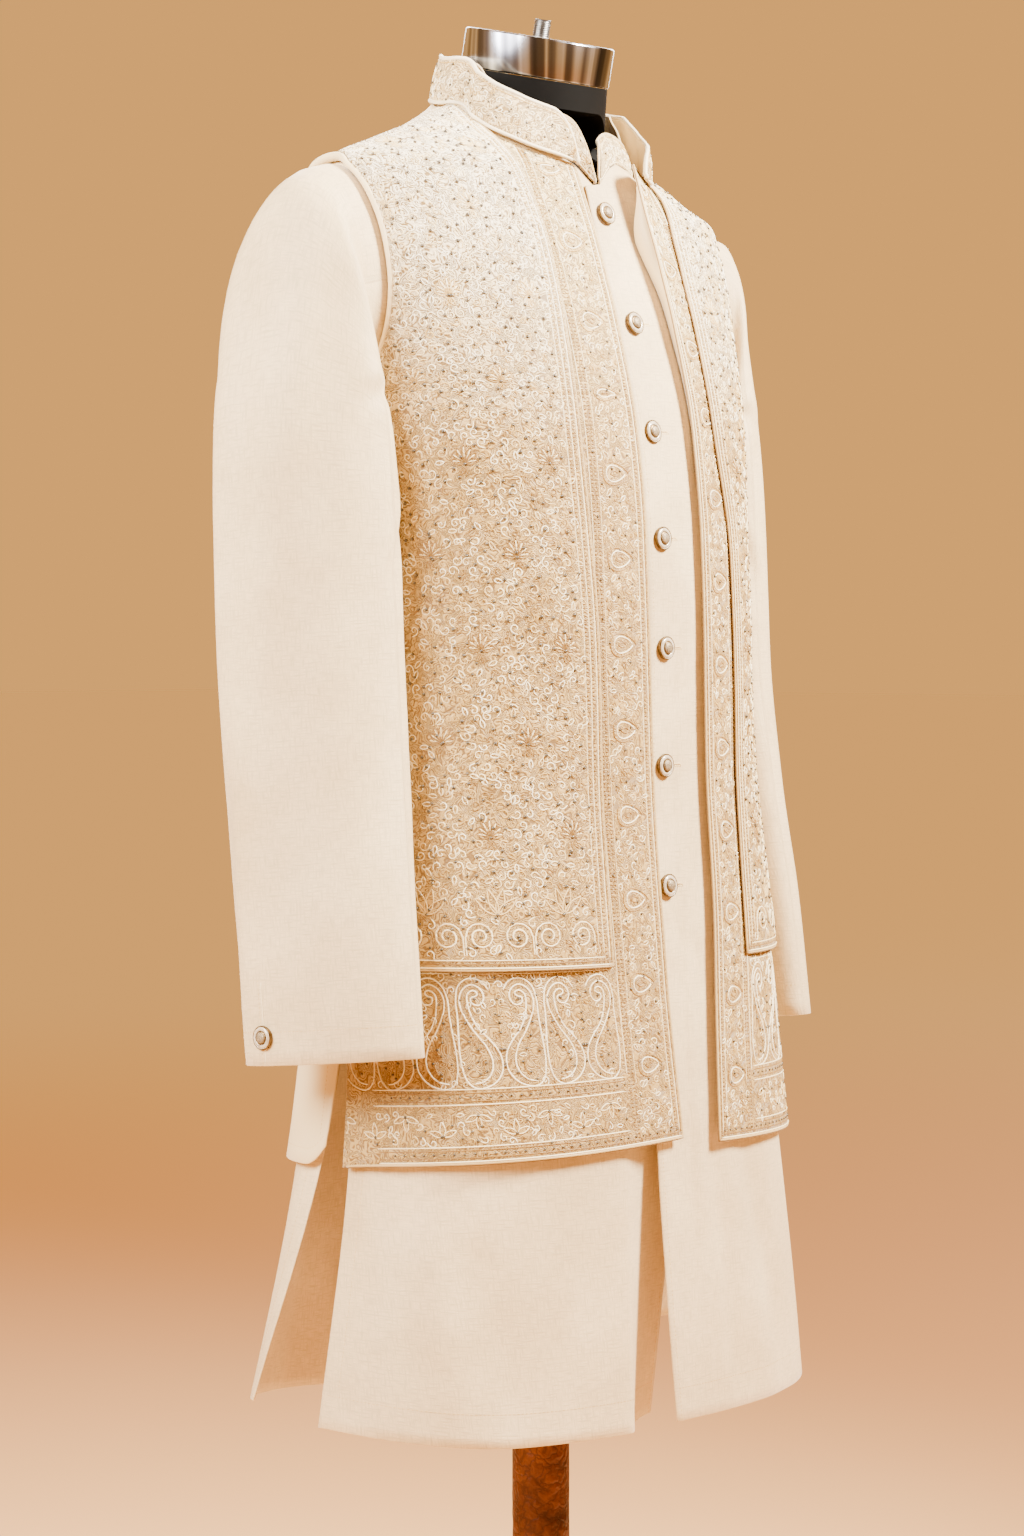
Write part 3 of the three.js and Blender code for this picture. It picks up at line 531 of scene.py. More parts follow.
# A crease is a soft trough with a lower ridge beside it. The place is taken from the crease's start.
def trough(x, y, dx, dy, deep, wide, ridgeShare, ridgeAside, farthest=math.inf):
    length = math.hypot(dx, dy)
    t = clamp((x * dx + y * dy) / length ** 2)
    aside = (x * dy - y * dx) / length
    beyond = math.hypot(x - t * dx, y - t * dy)
    if beyond > farthest * wide:
        return 0
    fade = math.sin(math.pi * clamp(t, 0.02, 0.98)) ** 0.5
    ridge = math.hypot(beyond - abs(aside), aside - ridgeAside * wide)
    upper, lower = math.exp(-((ridge / wide) ** 2)), math.exp(-((beyond / wide) ** 2))
    return deep * fade * (ridgeShare * upper - lower)


# Each crease runs from one angle and height to another, with a depth and a width.
creasing = {"perDegree": 3.1, "share": 1.5, "ridge": 0.45, "ridgeAside": 1.5, "reach": 3}


def creaseDepth(creases, angle, z):
    perDegree = creasing["perDegree"]
    return creasing["share"] * sum(
        trough((angle - a0) * perDegree, z - z0, (a1 - a0) * perDegree, z1 - z0, deep, wide,
               creasing["ridge"], creasing["ridgeAside"], creasing["reach"])
        for (a0, z0), (a1, z1), deep, wide in creases)


def ripple(point, size, amount):
    return noise.noise(point / size) * amount


# A closed thin shell on a grid of outer points, in millimetres, with rounded edges. Its UV map holds
# each point's place on the flat cloth, in metres.
def shellObject(name, grid, flat, thickness, closes=False, outwards=1):
    rows, columns = len(grid), len(grid[0])

    def around(i):
        return i % columns if closes else clamp(i, 0, columns - 1)

    normals = []
    for j in range(rows):
        line = []
        for i in range(columns):
            across = grid[j][around(i + 1)] - grid[j][around(i - 1)]
            up = grid[min(j + 1, rows - 1)][i] - grid[max(j - 1, 0)][i]
            line.append(across.cross(up).normalized() * outwards)
        normals.append(line)
    points = [p for line in grid for p in line]
    places = [p for line in flat for p in line]
    points += [grid[j][i] - normals[j][i] * thickness for j in range(rows) for i in range(columns)]
    places += places
    inner = rows * columns
    faces = []
    across = columns if closes else columns - 1
    for j in range(rows - 1):
        for i in range(across):
            a, b = j * columns + i, j * columns + (i + 1) % columns
            faces.append((a, b, b + columns, a + columns))
            faces.append((inner + a, inner + a + columns, inner + b + columns, inner + b))
    rims = [[(0, i) for i in range(columns)], [(rows - 1, i) for i in range(columns)]]
    if not closes:
        rims += [[(j, 0) for j in range(rows)], [(j, columns - 1) for j in range(rows)]]
    rimPoints = {}
    for rim in rims:
        for j, i in rim:
            if (j, i) in rimPoints:
                continue
            back = Vector((0, 0, 0))
            if j in (0, rows - 1):
                back += grid[j][i] - grid[1 if j == 0 else rows - 2][i]
            if not closes and i in (0, columns - 1):
                back += grid[j][i] - grid[j][1 if i == 0 else columns - 2]
            middle = grid[j][i] - normals[j][i] * (thickness / 2)
            rimPoints[j, i] = len(points)
            points.append(middle + back.normalized() * (0.35 * thickness))
            places.append(flat[j][i])
    for rim in rims:
        pairs = list(zip(rim, rim[1:] + rim[:1] if closes else rim[1:]))
        for start, end in pairs:
            a, b = start[0] * columns + start[1], end[0] * columns + end[1]
            m, n = rimPoints[start], rimPoints[end]
            faces.append((a, b, n, m))
            faces.append((m, n, inner + b, inner + a))
    return meshObject(name, [p * mm for p in points], faces, places)


def meshObject(name, points, faces, places=None):
    mesh = bpy.data.meshes.new(name)
    mesh.from_pydata([tuple(p) for p in points], [], faces)
    if places:
        layer = mesh.uv_layers.new(name="cloth")
        for loop in mesh.loops:
            u, v = places[loop.vertex_index]
            layer.data[loop.index].uv = (u * mm, v * mm)
    shape = bmesh.new()
    shape.from_mesh(mesh)
    bmesh.ops.recalc_face_normals(shape, faces=shape.faces)
    shape.to_mesh(mesh)
    shape.free()
    mesh.polygons.foreach_set("use_smooth", [True] * len(mesh.polygons))
    piece = bpy.data.objects.new(name, mesh)
    bpy.context.collection.objects.link(piece)
    return piece


def fit(piece, material, slotName, *nodes):
    piece.data.materials.append(material)
    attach(piece, "root")
    if nodes:
        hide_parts(*nodes)
    return piece


def runAlong(line, start=0):
    run = [start]
    for a, b in zip(line, line[1:]):
        run.append(run[-1] + (b - a).length)
    return run


# Each row's distances along the cloth from its free edge, and each row's distance up from the hem.
def flatPlaces(grid, starts=None):
    across = [runAlong(line, start) for line, start in zip(grid, starts or [0] * len(grid))]
    up = [0]
    for lower, line in zip(grid, grid[1:]):
        picks = range(0, len(line), max(1, len(line) // 6))
        up.append(up[-1] + sum((line[i] - lower[i]).length for i in picks) / len(picks))
    flat = [[(s, t) for s in run] for run, t in zip(across, up)]
    return {"grid": grid, "across": across, "up": up, "flat": flat}


# A hem's own shape fades out above it. The back's rows rise to the neckline from a height.
panels = {"columnsLean": 0.4, "hemFade": 140, "backRisesFrom": 1426}


def frontPanel(side, edge, hem, hemRise, top, drop, slit, grow, out, columns):
    grid, starts = [], []
    for z in panelRows(hem, top, grow):
        outer = outerAngle(z, False, slit, grow)
        edgeX = readAt(edge, z, 1)
        free = side * angleAtX(edgeX, z)
        inner = free
        if z > readAt(neckline, max(free, 0), 1) - drop:
            inner = min(max(free, readAt(necklineByHeight, z + drop, 1)), shoulderPoint)
        starts.append(max(0, side * (bodyPoint(side * inner, z).x - edgeX)) if inner > free else 0)
        line = []
        for i in range(columns + 1):
            u = i / columns
            u += panels["columnsLean"] * math.sin(math.pi * u) / math.pi
            angle = side * mix(inner, outer, u)
            height = z + hemRise(abs(angle)) * ease(1 - (z - hem) / panels["hemFade"])
            line.append(clothPoint(angle, height, out(angle, height)))
        grid.append(line)
    return flatPlaces(grid, starts)


def backPanel(hem, hemRise, drop, slit, grow, out, columns):
    grid = []
    start, top = panels["backRisesFrom"], shoulderRow - drop
    for z in panelRows(hem, top, grow):
        outer = outerAngle(z, True, slit, grow)
        share = clamp((z - start) / (top - start))
        line = []
        for i in range(columns + 1):
            u = i / columns
            u -= panels["columnsLean"] * math.sin(2 * math.pi * u) / (2 * math.pi)
            angle = mix(-outer, outer - 360, u)
            behind = 180 - abs(angle + 180)
            height = z + (readAt(neckline, behind, 1) - drop - top) * share
            height += hemRise(behind) * ease(1 - (z - hem) / panels["hemFade"])
            line.append(clothPoint(angle, height, out(angle, height)))
        grid.append(line)
    return flatPlaces(grid)


# The kurta: two fronts, lapped, and a back. Edges give height and distance to the wearer's left.
kurta = {
    "hem": 482,
    "lapEdge": [(440, -13), (577, -21), (696, -25), (991, -14), (1410, -14)],
    "underlapEdge": [(440, 16), (1410, 16)],
    "swingFrom": -60, "swingTop": 760, "swing": 62,
    "backSwing": 29, "backCurl": 7, "curlOver": 26 / 3.4,
    "columns": 60, "backColumns": 96,
    "frontCreases": [
        ((-62, 640), (-52, 482), 2.2, 16), ((-78, 700), (-70, 520), 1.6, 14),
        ((9, 1090), (8, 470), -0.9, 5), ((16, 690), (22, 500), 1.4, 12),
        ((30, 700), (46, 490), 2.4, 17), ((60, 700), (66, 500), 1.6, 15),
        ((2, 1190), (12, 1130), 0.7, 9),
        ((3, 1010), (14, 1040), 0.8, 10), ((1, 860), (16, 820), 0.9, 12),
    ],
    "backCreases": [
        ((-150, 1000), (-142, 500), 3.0, 18), ((-185, 900), (-190, 490), 3.4, 20),
        ((-222, 980), (-228, 500), 2.6, 17), ((-118, 760), (-112, 490), 2.2, 15),
        ((-252, 780), (-250, 500), 2.0, 15),
    ],
}


def rightHemRise(angle):
    return 12 * ease((angle - 50) / 40)


def leftHemRise(angle):
    return 2 + 6 * ease((angle - 50) / 40)


def backHemRise(behind):
    return 15 * ease((150 - behind) / 60) + 8


# The right front dips under the left one, and below the form its edge swings inwards.
def rightKurtaOut(angle, z):
    x = bodyPoint(angle, z).x
    below = clamp((kurta["swingTop"] - z) / (kurta["swingTop"] - kurta["hem"]))
    past = max(0.0, x - kurta["swingFrom"] + 5)
    swing = kurta["swing"] * below * (1 - math.exp(-past * past / (past + 10) / 42))
    return creaseDepth(kurta["frontCreases"], angle, z) - 1.9 * ease((x + 62) / 34) - swing


def leftKurtaOut(angle, z):
    return creaseDepth(kurta["frontCreases"], angle, z)


def fromSide(angle):
    return min(abs(angle + 90), abs(angle + 270))


# Below the form the back swings out, and its side edges curl in.
def backSwing(angle, z):
    return kurta["backSwing"] * opening(kurtaSlit, z) ** 1.7 * ease((55 - fromSide(angle)) / 50)


def kurtaBackOut(angle, z):
    curl = kurta["backCurl"] * opening(kurtaSlit, z) * ease(1 - fromSide(angle) / kurta["curlOver"])
    return creaseDepth(kurta["backCreases"], angle, z) + backSwing(angle, z) - curl


kurtaRight = frontPanel(-1, kurta["underlapEdge"], kurta["hem"], rightHemRise, shoulderRow, 0,
                        kurtaSlit, 0, rightKurtaOut, kurta["columns"])
kurtaLeft = frontPanel(1, kurta["lapEdge"], kurta["hem"], leftHemRise, shoulderRow, 0, kurtaSlit, 0,
                       leftKurtaOut, kurta["columns"])
kurtaBack = backPanel(kurta["hem"], backHemRise, 0, kurtaSlit, 0, kurtaBackOut,
                      kurta["backColumns"])


def nodeName(name):
    return "".join("_" + letter.lower() if letter.isupper() else letter for letter in name)


def clothPiece(name, panel, thickness, material, slotName, outwards=1, lining=None, closes=False):
    panel["outwards"] = outwards
    piece = shellObject(name, panel["grid"], panel["flat"], thickness, closes, outwards)
    fit(piece, material, slotName, nodeName(name))
    if lining:
        piece.data.materials.append(lining)
        outer = len(panel["grid"]) * len(panel["grid"][0])
        for face in piece.data.polygons:
            if min(face.vertices) >= outer:
                face.material_index = 1


kurtaPanels = {"kurtaFrontRight": kurtaRight, "kurtaFrontLeft": kurtaLeft, "kurtaBack": kurtaBack}
for name, panel in kurtaPanels.items():
    clothPiece(name, panel, cloth["kurta"], kurtaSilk, "kurta_silk", 1 if panel is kurtaLeft else -1)
print("kurta panels done")

# The sleeves: rings from the armhole to the cuff. Outer side x and z, inner side x and z, depth,
# middle from front to back, turn inwards, and how far the front stands above the back.
sleeves = {
    "rings": [
        (216, 1411, 201, 1247, 51, 36, 0, 0), (229, 1403, 203, 1244, 54, 35, 3, 0),
        (239, 1389, 203, 1240, 58, 34, 7, 0), (247, 1367, 202, 1234, 61, 33, 11, 0),
        (254, 1333, 200, 1225, 63, 31, 15, 0), (261, 1286, 198, 1212, 65, 27, 18, 1),
        (268, 1222, 196, 1194, 67, 23, 20, 2), (272, 1148, 192, 1145, 68, 20, 20, 3),
        (273, 1050, 192, 1050, 68, 16, 20, 4), (273, 950, 200, 950, 68, 5, 20, 5),
        (276, 855, 210, 855, 68, -9, 20, 5), (276, 762, 215, 762, 67, -21, 20, 5),
    ],
    "head": 9, "round": 96, "steps": 9, "creaseShare": 2.0, "girth": 330, "ringGap": 92,
    # where each crease runs, as shares of a turn and ring numbers, how deep and how wide
    "creases": [
        ((0.10, 3.2), (0.17, 7.0), 1.5, 13), ((0.30, 3.0), (0.33, 8.5), 1.6, 16),
        ((0.20, 6.4), (0.25, 10.2), 0.9, 14), ((0.93, 4.6), (1.06, 5.6), 1.5, 9),
        ((0.90, 6.8), (1.02, 7.6), 1.2, 9), ((0.60, 4.0), (0.44, 5.2), 1.8, 11),
        ((0.64, 6.6), (0.50, 7.8), 1.4, 11), ((0.70, 5.2), (0.82, 6.4), 1.6, 10),
        ((0.40, 8.6), (0.46, 10.6), 1.0, 12), ((0.86, 8.6), (0.80, 10.4), 1.2, 12),
    ],
}


def sleeveRing(at):
    rings = [(k, *ring) for k, ring in enumerate(sleeves["rings"])]
    return [readAt(rings, at, column) for column in range(1, 9)]


def sleeveCrease(turn, at):
    girth, gap = sleeves["girth"], sleeves["ringGap"]
    return sleeves["creaseShare"] * sum(
        trough(((turn - t0 + 0.5) % 1 - 0.5) * girth, (at - r0) * gap, (t1 - t0) * girth,
               (r1 - r0) * gap, deep, wide, 0.5, 1.6)
        for (t0, r0), (t1, r1), deep, wide in sleeves["creases"])


def sleevePoint(side, ring, turn, out):
    outX, outZ, inX, inZ, depth, middle, twist, pitch = ring
    up = math.sin(turn * 2 * math.pi)
    ahead = math.cos(turn * 2 * math.pi)
    rise = Vector((outX - inX, 0, outZ - inZ))
    half = rise.length / 2 + out
    depth += out
    place = Vector((outX + inX, 0, outZ + inZ)) / 2 + rise.normalized() * (half * up)
    place.x -= depth * ahead * math.sin(math.radians(twist))
    place.y = middle - depth * ahead * math.cos(math.radians(twist))
    place.z += pitch * ahead
    place.z -= shoulderDrop(90 * side, place.z)
    place.x *= side
    return place


def armholePoint(side, turn, grow, out):
    ahead = math.cos(turn * 2 * math.pi)
    z = armholeMiddle + (armholeHalf + grow) * math.sin(turn * 2 * math.pi)
    reach = (armhole["front"] if ahead > 0 else armhole["back"]) + grow
    return clothPoint(side * angleAtDepth(-reach * ahead, z), z, out)


def sleevePanel(side):
    count, steps = sleeves["round"], sleeves["steps"]
    first = [armholePoint(side, i / count, -0.2, 0) for i in range(count)]
    head = [p + Vector((side * sleeves["head"], 0, 0)) for p in first]
    grid = [first, [a.lerp(b, 0.5) for a, b in zip(first, head)], head]
    for k in range((len(sleeves["rings"]) - 1) * steps + 1):
        at = k / steps
        ring = sleeveRing(at)
        grid.append([sleevePoint(side, ring, i / count, sleeveCrease(i / count, at) * ease(at / 1.5))
                     for i in range(count)])
    return flatPlaces(grid[::-1])


sleevePanels = {"Right": sleevePanel(-1), "Left": sleevePanel(1)}
for name, side in (("Right", -1), ("Left", 1)):
    clothPiece("kurtaSleeve" + name, sleevePanels[name], cloth["kurta"], kurtaSilk, "kurta_silk", side,
               closes=True)
print("sleeves done")

# The jacket: each front a short layer over a long one, and a plain back.
jacket = {
    "hem": 678, "shortHem": 826, "columns": 50, "shortColumns": 42, "backColumns": 84,
    "rightLongEdge": [(660, -4), (798, -12), (947, -16), (1095, -21), (1365, -20), (1428, -26)],
    "rightShortEdge": [(800, -69), (1007, -70), (1226, -78), (1330, -74), (1364, -73), (1406, -79),
                       (1438, -91)],
    "leftLongEdge": [(660, 38), (770, 43), (892, 49), (1040, 45), (1232, 44), (1306, 39), (1381, 31),
                     (1428, 27)],
    "leftShortEdge": [(800, 88), (940, 90), (1128, 85), (1230, 73), (1330, 73), (1438, 80)],
    # height, then how far the long and the short layer stand off what is under them
    "stand": [(690, 6, 3), (830, 5, 3), (1060, 4, 2.4), (1221, 3.8, 1.8), (1345, 2.4, 1.4),
              (1415, 2.3, 2.2), (1440, 1.2, 1.5), (1462, 1.8, 0.8)],
    # height, how far the left edge stands off the kurta, over what width it rises, how far ahead of
    # the edge its facing meets the kurta
    "turnUp": [(690, 0.4, 28, -5), (1150, 0.8, 28, -5), (1250, 2.5, 30, -5), (1320, 7, 32, -3),
               (1370, 11, 34, 6), (1428, 13, 34, 6)],
    "facingFrom": 1130, "facingWhole": 1240, "facingThins": 1365, "facingTop": 1413,
    "edgeRest": 0.3, "edgeReach": 30, "ripple": (70, 0.5),
    "backCreases": [((-150, 1330), (-135, 1120), 2.2, 20), ((-212, 1340), (-226, 1120), 2.4, 20),
                    ((-170, 1060), (-160, 760), 2.0, 18), ((-205, 1010), (-214, 740), 2.2, 18)],
}


def longOut(angle, z):
    rippled = ripple(bodyPoint(angle, z), *jacket["ripple"])
    return readAt(jacket["stand"], z, 1) + cloth["jacket"] + rippled


# The short layer settles on the long one at its free edge.
def shortOut(angle, z):
    edge = jacket["rightShortEdge" if angle < 0 else "leftShortEdge"]
    fromEdge = abs(bodyPoint(angle, z).x - readAt(edge, z, 1))
    settled = mix(jacket["edgeRest"], 1, ease(fromEdge / jacket["edgeReach"]))
    stand = readAt(jacket["stand"], z, 1) + readAt(jacket["stand"], z, 2) * settled
    return stand + 2 * cloth["jacket"] + ripple(bodyPoint(angle, z), *jacket["ripple"])


def jacketBackOut(angle, z):
    return longOut(angle, z) + backSwing(angle, z) + creaseDepth(jacket["backCreases"], angle, z)


# The left front's edge turns up off the kurta, so that its plain facing shows from the side.
def leftLongOut(angle, z):
    fromEdge = bodyPoint(angle, z).x - readAt(jacket["leftLongEdge"], z, 1)
    lift, wide = readAt(jacket["turnUp"], z, 1), readAt(jacket["turnUp"], z, 2)
    return longOut(angle, z) + lift * clamp(1 - fromEdge / wide) ** 2


def rightLongRise(angle):
    return 17 * math.sqrt(clamp(1 - angle / 90))


def leftLongRise(angle):
    return 2 + 9 * math.sqrt(clamp(1 - angle / 90))


def levelHem(angle):
    return 0


# The back's lower corners are rounded.
def tailRise(behind):
    return 1 + 15 * clamp(1 - (behind - 92.7) / 5) ** 2


def jacketFront(name, side, hemRise, out, isLong):
    panel = frontPanel(side, jacket[name + "Edge"], jacket["hem" if isLong else "shortHem"], hemRise,
                       shoulderRow - jacketNeckDrop, jacketNeckDrop, jacketSlit,
                       armhole["binding"] + 0.1, out, jacket["columns" if isLong else "shortColumns"])
    piece = "jacketFront" + ("Right" if side < 0 else "Left") + ("Long" if isLong else "Short")
    clothPiece(piece, panel, cloth["jacket"], longCloth if isLong else jacketCloth,
               "embroidered_cloth", side, jacketPlain if isLong else None)
    return panel


rightLong = jacketFront("rightLong", -1, rightLongRise, longOut, True)
leftLong = jacketFront("leftLong", 1, leftLongRise, leftLongOut, True)
rightShort = jacketFront("rightShort", -1, levelHem, shortOut, False)
leftShort = jacketFront("leftShort", 1, levelHem, shortOut, False)
jacketBack = backPanel(jacket["hem"], tailRise, jacketNeckDrop, jacketSlit,
                       armhole["binding"] + 0.1, jacketBackOut, jacket["backColumns"])
clothPiece("jacketBack", jacketBack, cloth["jacket"], jacketPlain, "jacket_back_cloth", -1)


# The left edge's facing: a plain strip from the embroidered edge back to the kurta, bowed a little.
def facingStrip(panel, edge):
    grid = []
    low, whole, thins, high = (jacket["facing" + part] for part in ("From", "Whole", "Thins", "Top"))
    for line in panel["grid"]:
        z = line[0].z
        if not low < z < high:
            continue
        outer = line[0] - (line[1] - line[0]).normalized() * 0.4
        reach = ease((z - low) / (whole - low)) * (1 - 0.85 * ease((z - thins) / (high - thins)))
        edgeX = max(readAt(edge, z, 1), line[0].x)
        inner = clothPoint(angleAtX(edgeX - readAt(jacket["turnUp"], z, 3), z), z, 1.4)
        inner = outer.lerp(inner, max(0.1, reach))
        aside = Vector((-0.75, -0.66, 0)) * (0.14 * (outer - inner).length)
        grid.append([outer.lerp(inner, k / 8) + aside * math.sin(math.pi * k / 8) for k in range(9)])
    return flatPlaces(grid)


facing = facingStrip(leftLong, jacket["leftLongEdge"])
fit(shellObject("jacketLeftFacing", facing["grid"], facing["flat"], 0.9, False, -1), jacketPlain,
    "jacket_back_cloth")
print("jacket panels done")


def collarLift(z):
    return readAt(jacket["stand"], z, 1) + readAt(jacket["stand"], z, 2) + 2 * cloth["jacket"]


# The level direction from a place on the neckline to the neck's middle.
def neckwards(p):
    return Vector((-p.x, 5 - p.y, 0)).normalized()


# Collars are bands that stand along the neckline, with rounded front corners.
collars = {
    "kurta": {"start": (1.5, 1.5), "drop": 0, "corner": {"right": 30, "left": 7},
              "height": {"back": 31, "right": 31, "left": 22},
              "lean": {"back": 5, "right": 2, "left": 9}, "peak": {"right": 0, "left": 11},
              "thick": 1.6, "piping": 1.05},
    "jacket": {"start": (17, 41), "drop": jacketNeckDrop, "corner": {"right": 24, "left": 24},
               "height": {"back": 34, "right": 34, "left": 29},
               "lean": {"back": 8, "right": 5, "left": 2}, "peak": {"right": 0, "left": 0},
               "thick": 2.2, "piping": 1.75},
    "seat": 0.4, "bow": 1.2, "peakReach": 18, "columns": 170, "rows": 12,
}


def standCollar(shape, lift):
    half, rows = collars["columns"] // 2, collars["rows"]
    start, height, lean = shape["start"], shape["height"], shape["lean"]
    angles = [-mix(start[0], 180, k / half) for k in range(half)]
    angles += [mix(180, start[1], k / half) for k in range(half + 1)]
    base = []
    for angle in angles:
        z = readAt(neckline, abs(angle), 1) - shape["drop"]
        base.append(clothPoint(angle, z, lift(z)))
    run = runAlong(base)
    whole = run[-1]
    grid = [[] for row in range(rows + 1)]
    for along, foot in zip(run, base):
        end = "right" if along < whole / 2 else "left"
        fromEnd = min(along, whole - along)
        rounding = clamp(1 - fromEnd / shape["corner"][end])
        atEnd = ease(abs(2 * along / whole - 1) * 1.6 - 0.6)
        near = clamp(1 - fromEnd / collars["peakReach"]) if shape["peak"][end] else 0
        full = mix(height["back"], height[end], atEnd) + shape["peak"][end] * near
        tall = full * max(0.15, math.sqrt(1 - rounding * rounding))
        leans = mix(lean["back"], lean[end], atEnd) * (1 - near) * tall / full
        for j, line in enumerate(grid):
            v = j / rows
            place = foot + neckwards(foot) * (leans * v - collars["bow"] * math.sin(math.pi * v))
            place.z += collars["seat"] + tall * v
            line.append(place)
    panel = flatPlaces(grid)
    panel["up"] = [height["back"] * j / rows for j in range(rows + 1)]
    panel["flat"] = [[(s, t) for s in line] for line, t in zip(panel["across"], panel["up"])]
    return panel


# Faces round a stack of rings of points, with both ends closed.
def closedRings(rows, sides):
    faces = [(j * sides + i, j * sides + (i + 1) % sides, (j + 1) * sides + (i + 1) % sides,
              (j + 1) * sides + i) for j in range(rows - 1) for i in range(sides)]
    return faces + [tuple(range(sides)), tuple((rows - 1) * sides + i for i in range(sides))]


# A round cord along a path, in millimetres. Its UV map runs along it.
def tube(name, path, radius, sides=8):
    points, places = [], []
    aside = (path[1] - path[0]).cross(Vector((0.3, 0.2, 1))).normalized()
    for k, (p, run) in enumerate(zip(path, runAlong(path))):
        along = (path[min(k + 1, len(path) - 1)] - path[max(k - 1, 0)]).normalized()
        aside = (aside - along * aside.dot(along)).normalized()
        upward = aside.cross(along)
        for i in range(sides):
            turn = 2 * math.pi * i / sides
            points.append((p + (aside * math.cos(turn) + upward * math.sin(turn)) * radius) * mm)
            places.append((run, i * radius))
    return meshObject(name, points, closedRings(len(path), sides), places)


def collarEdge(panel, thickness):
    grid = panel["grid"]
    edge = []
    for p in [row[0] for row in grid] + grid[-1][1:-1] + [row[-1] for row in reversed(grid)]:
        middle = p + neckwards(p) * (thickness / 2)
        if not edge or (middle - edge[-1]).length > 1.2:
            edge.append(middle)
    return edge


kurtaCollar = standCollar(collars["kurta"], lambda z: 0)
jacketCollar = standCollar(collars["jacket"], collarLift)
for name, panel, lining in (("kurta", kurtaCollar, kurtaSilk), ("jacket", jacketCollar, jacketPlain)):
    clothPiece(name + "Collar", panel, collars[name]["thick"], collarCloth, "embroidered_cloth", -1,
               lining)
for name, panel, material, slotName in (("jacket", jacketCollar, pipingSilk, "jacket_back_cloth"),
                                        ("kurta", kurtaCollar, kurtaSilk, "kurta_silk")):
    edge = collarEdge(panel, collars[name]["thick"])
    fit(tube(name + "CollarPiping", edge, collars[name]["piping"]), material, slotName)
foot = [p + Vector((0, 0, collars["seat"])) for p in jacketCollar["grid"][0][2:-2]]
fit(tube("jacketCollarFoot", foot, 1.2), pipingSilk, "jacket_back_cloth")


# A front's piping runs down its free edge and along its hem, with a thin dark cord outside it: a
# painted shadow line where the piping meets what lies under it.
def frontPiping(name, panel, radius):
    grid = panel["grid"]
    places = [(j, 0) for j in reversed(range(len(grid)))]
    places += [(0, i) for i in range(1, len(grid[0]) - 1)]
    cream, shadowLine = [], []
    for j, i in places:
        across = (grid[j][i + 1] - grid[j][i]).normalized()
        up = (grid[min(j + 1, len(grid) - 1)][i] - grid[max(j - 1, 0)][i]).normalized()
        normal = across.cross(up).normalized() * panel["outwards"]
        away = (across + up).normalized() if i == j == 0 else across if i == 0 else up
        middle = grid[j][i] - normal * (cloth["jacket"] / 2 - 0.3)
        if not cream or (middle - cream[-1]).length > 2.5:
            cream.append(middle)
            shadowLine.append(middle - away * (radius + 0.2) - normal * 0.2)
    fit(tube(name + "Piping", cream, radius), edgingSilk, "jacket_back_cloth")
    fit(tube(name + "EdgeShadowLine", shadowLine, 0.42, 6), shadowLineCord, "jacket_back_cloth")


for name, panel, radius in (("rightShort", rightShort, 0.8), ("leftShort", leftShort, 0.8),
                            ("rightLong", rightLong, 1.0), ("leftLong", leftLong, 1.0)):
    frontPiping(name, panel, radius)


# The armholes are bound with a rolled strip. Its middle lies outside the armhole's edge.
binding = {"count": 120, "sides": 10, "middle": 1.5, "half": 2.5, "over": 0.7}


def armholeBinding(name, side):
    count, sides, middle = binding["count"], binding["sides"], binding["middle"]
    points, faces, places = [], [], []
    for i in range(count):
        turn, following = i / count, (i + 1) % count
        row = armholeMiddle + (armholeHalf + middle) * math.sin(turn * 2 * math.pi)
        top, low = collarLift(row), readAt(jacket["stand"], row, 1)
        across = (armholePoint(side, turn, 4, 0) - armholePoint(side, turn, -1, 0)).normalized()
        seat = armholePoint(side, turn, middle, 0)
        outward = (armholePoint(side, turn, middle, 4) - seat).normalized()
        centre = armholePoint(side, turn, middle, (top + low) / 2)
        for k in range(sides):
            bend = 2 * math.pi * k / sides
            points.append((centre + across * (binding["half"] * math.cos(bend))
                           + outward * ((top - low) / 2 + binding["over"]) * math.sin(bend)) * mm)
            places.append((i * 4.0, k * 1.5))
            faces.append((i * sides + k, i * sides + (k + 1) % sides,
                          following * sides + (k + 1) % sides, following * sides + k))
    return meshObject(name, points, faces, places)


for name, side in (("Right", -1), ("Left", 1)):
    fit(armholeBinding("armholeBinding" + name, side), jacketPlain, "jacket_back_cloth",
        "jacket_armhole_binding_" + name.lower())
print("collars and bindings done")

# Embroidery is laid as fine cords on a panel, from drawings in millimetres on the flat cloth:
# across from the free edge, up from the hem. Each line has a half width and a tone, from ivory 0
# to gilt 1.
stitchery = {"step": 1.95, "rise": 0.85, "taper": 0.45, "sunk": 0.2, "twist": 1.7,
             "curlPitch": 8.2, "curlSize": 3.5, "flowerPitch": (64, 68),
             "stonePitch": 13.2, "stoneRadius": 1.3,
             # threads pale from gold to ivory from this height, over this much: partly the gilding
             # thinning upwards, partly a painted highlight from above
             "paleAndLitFrom": 1170, "paleAndLitOver": 220, "lowTone": 0.17, "highTone": 0.62}


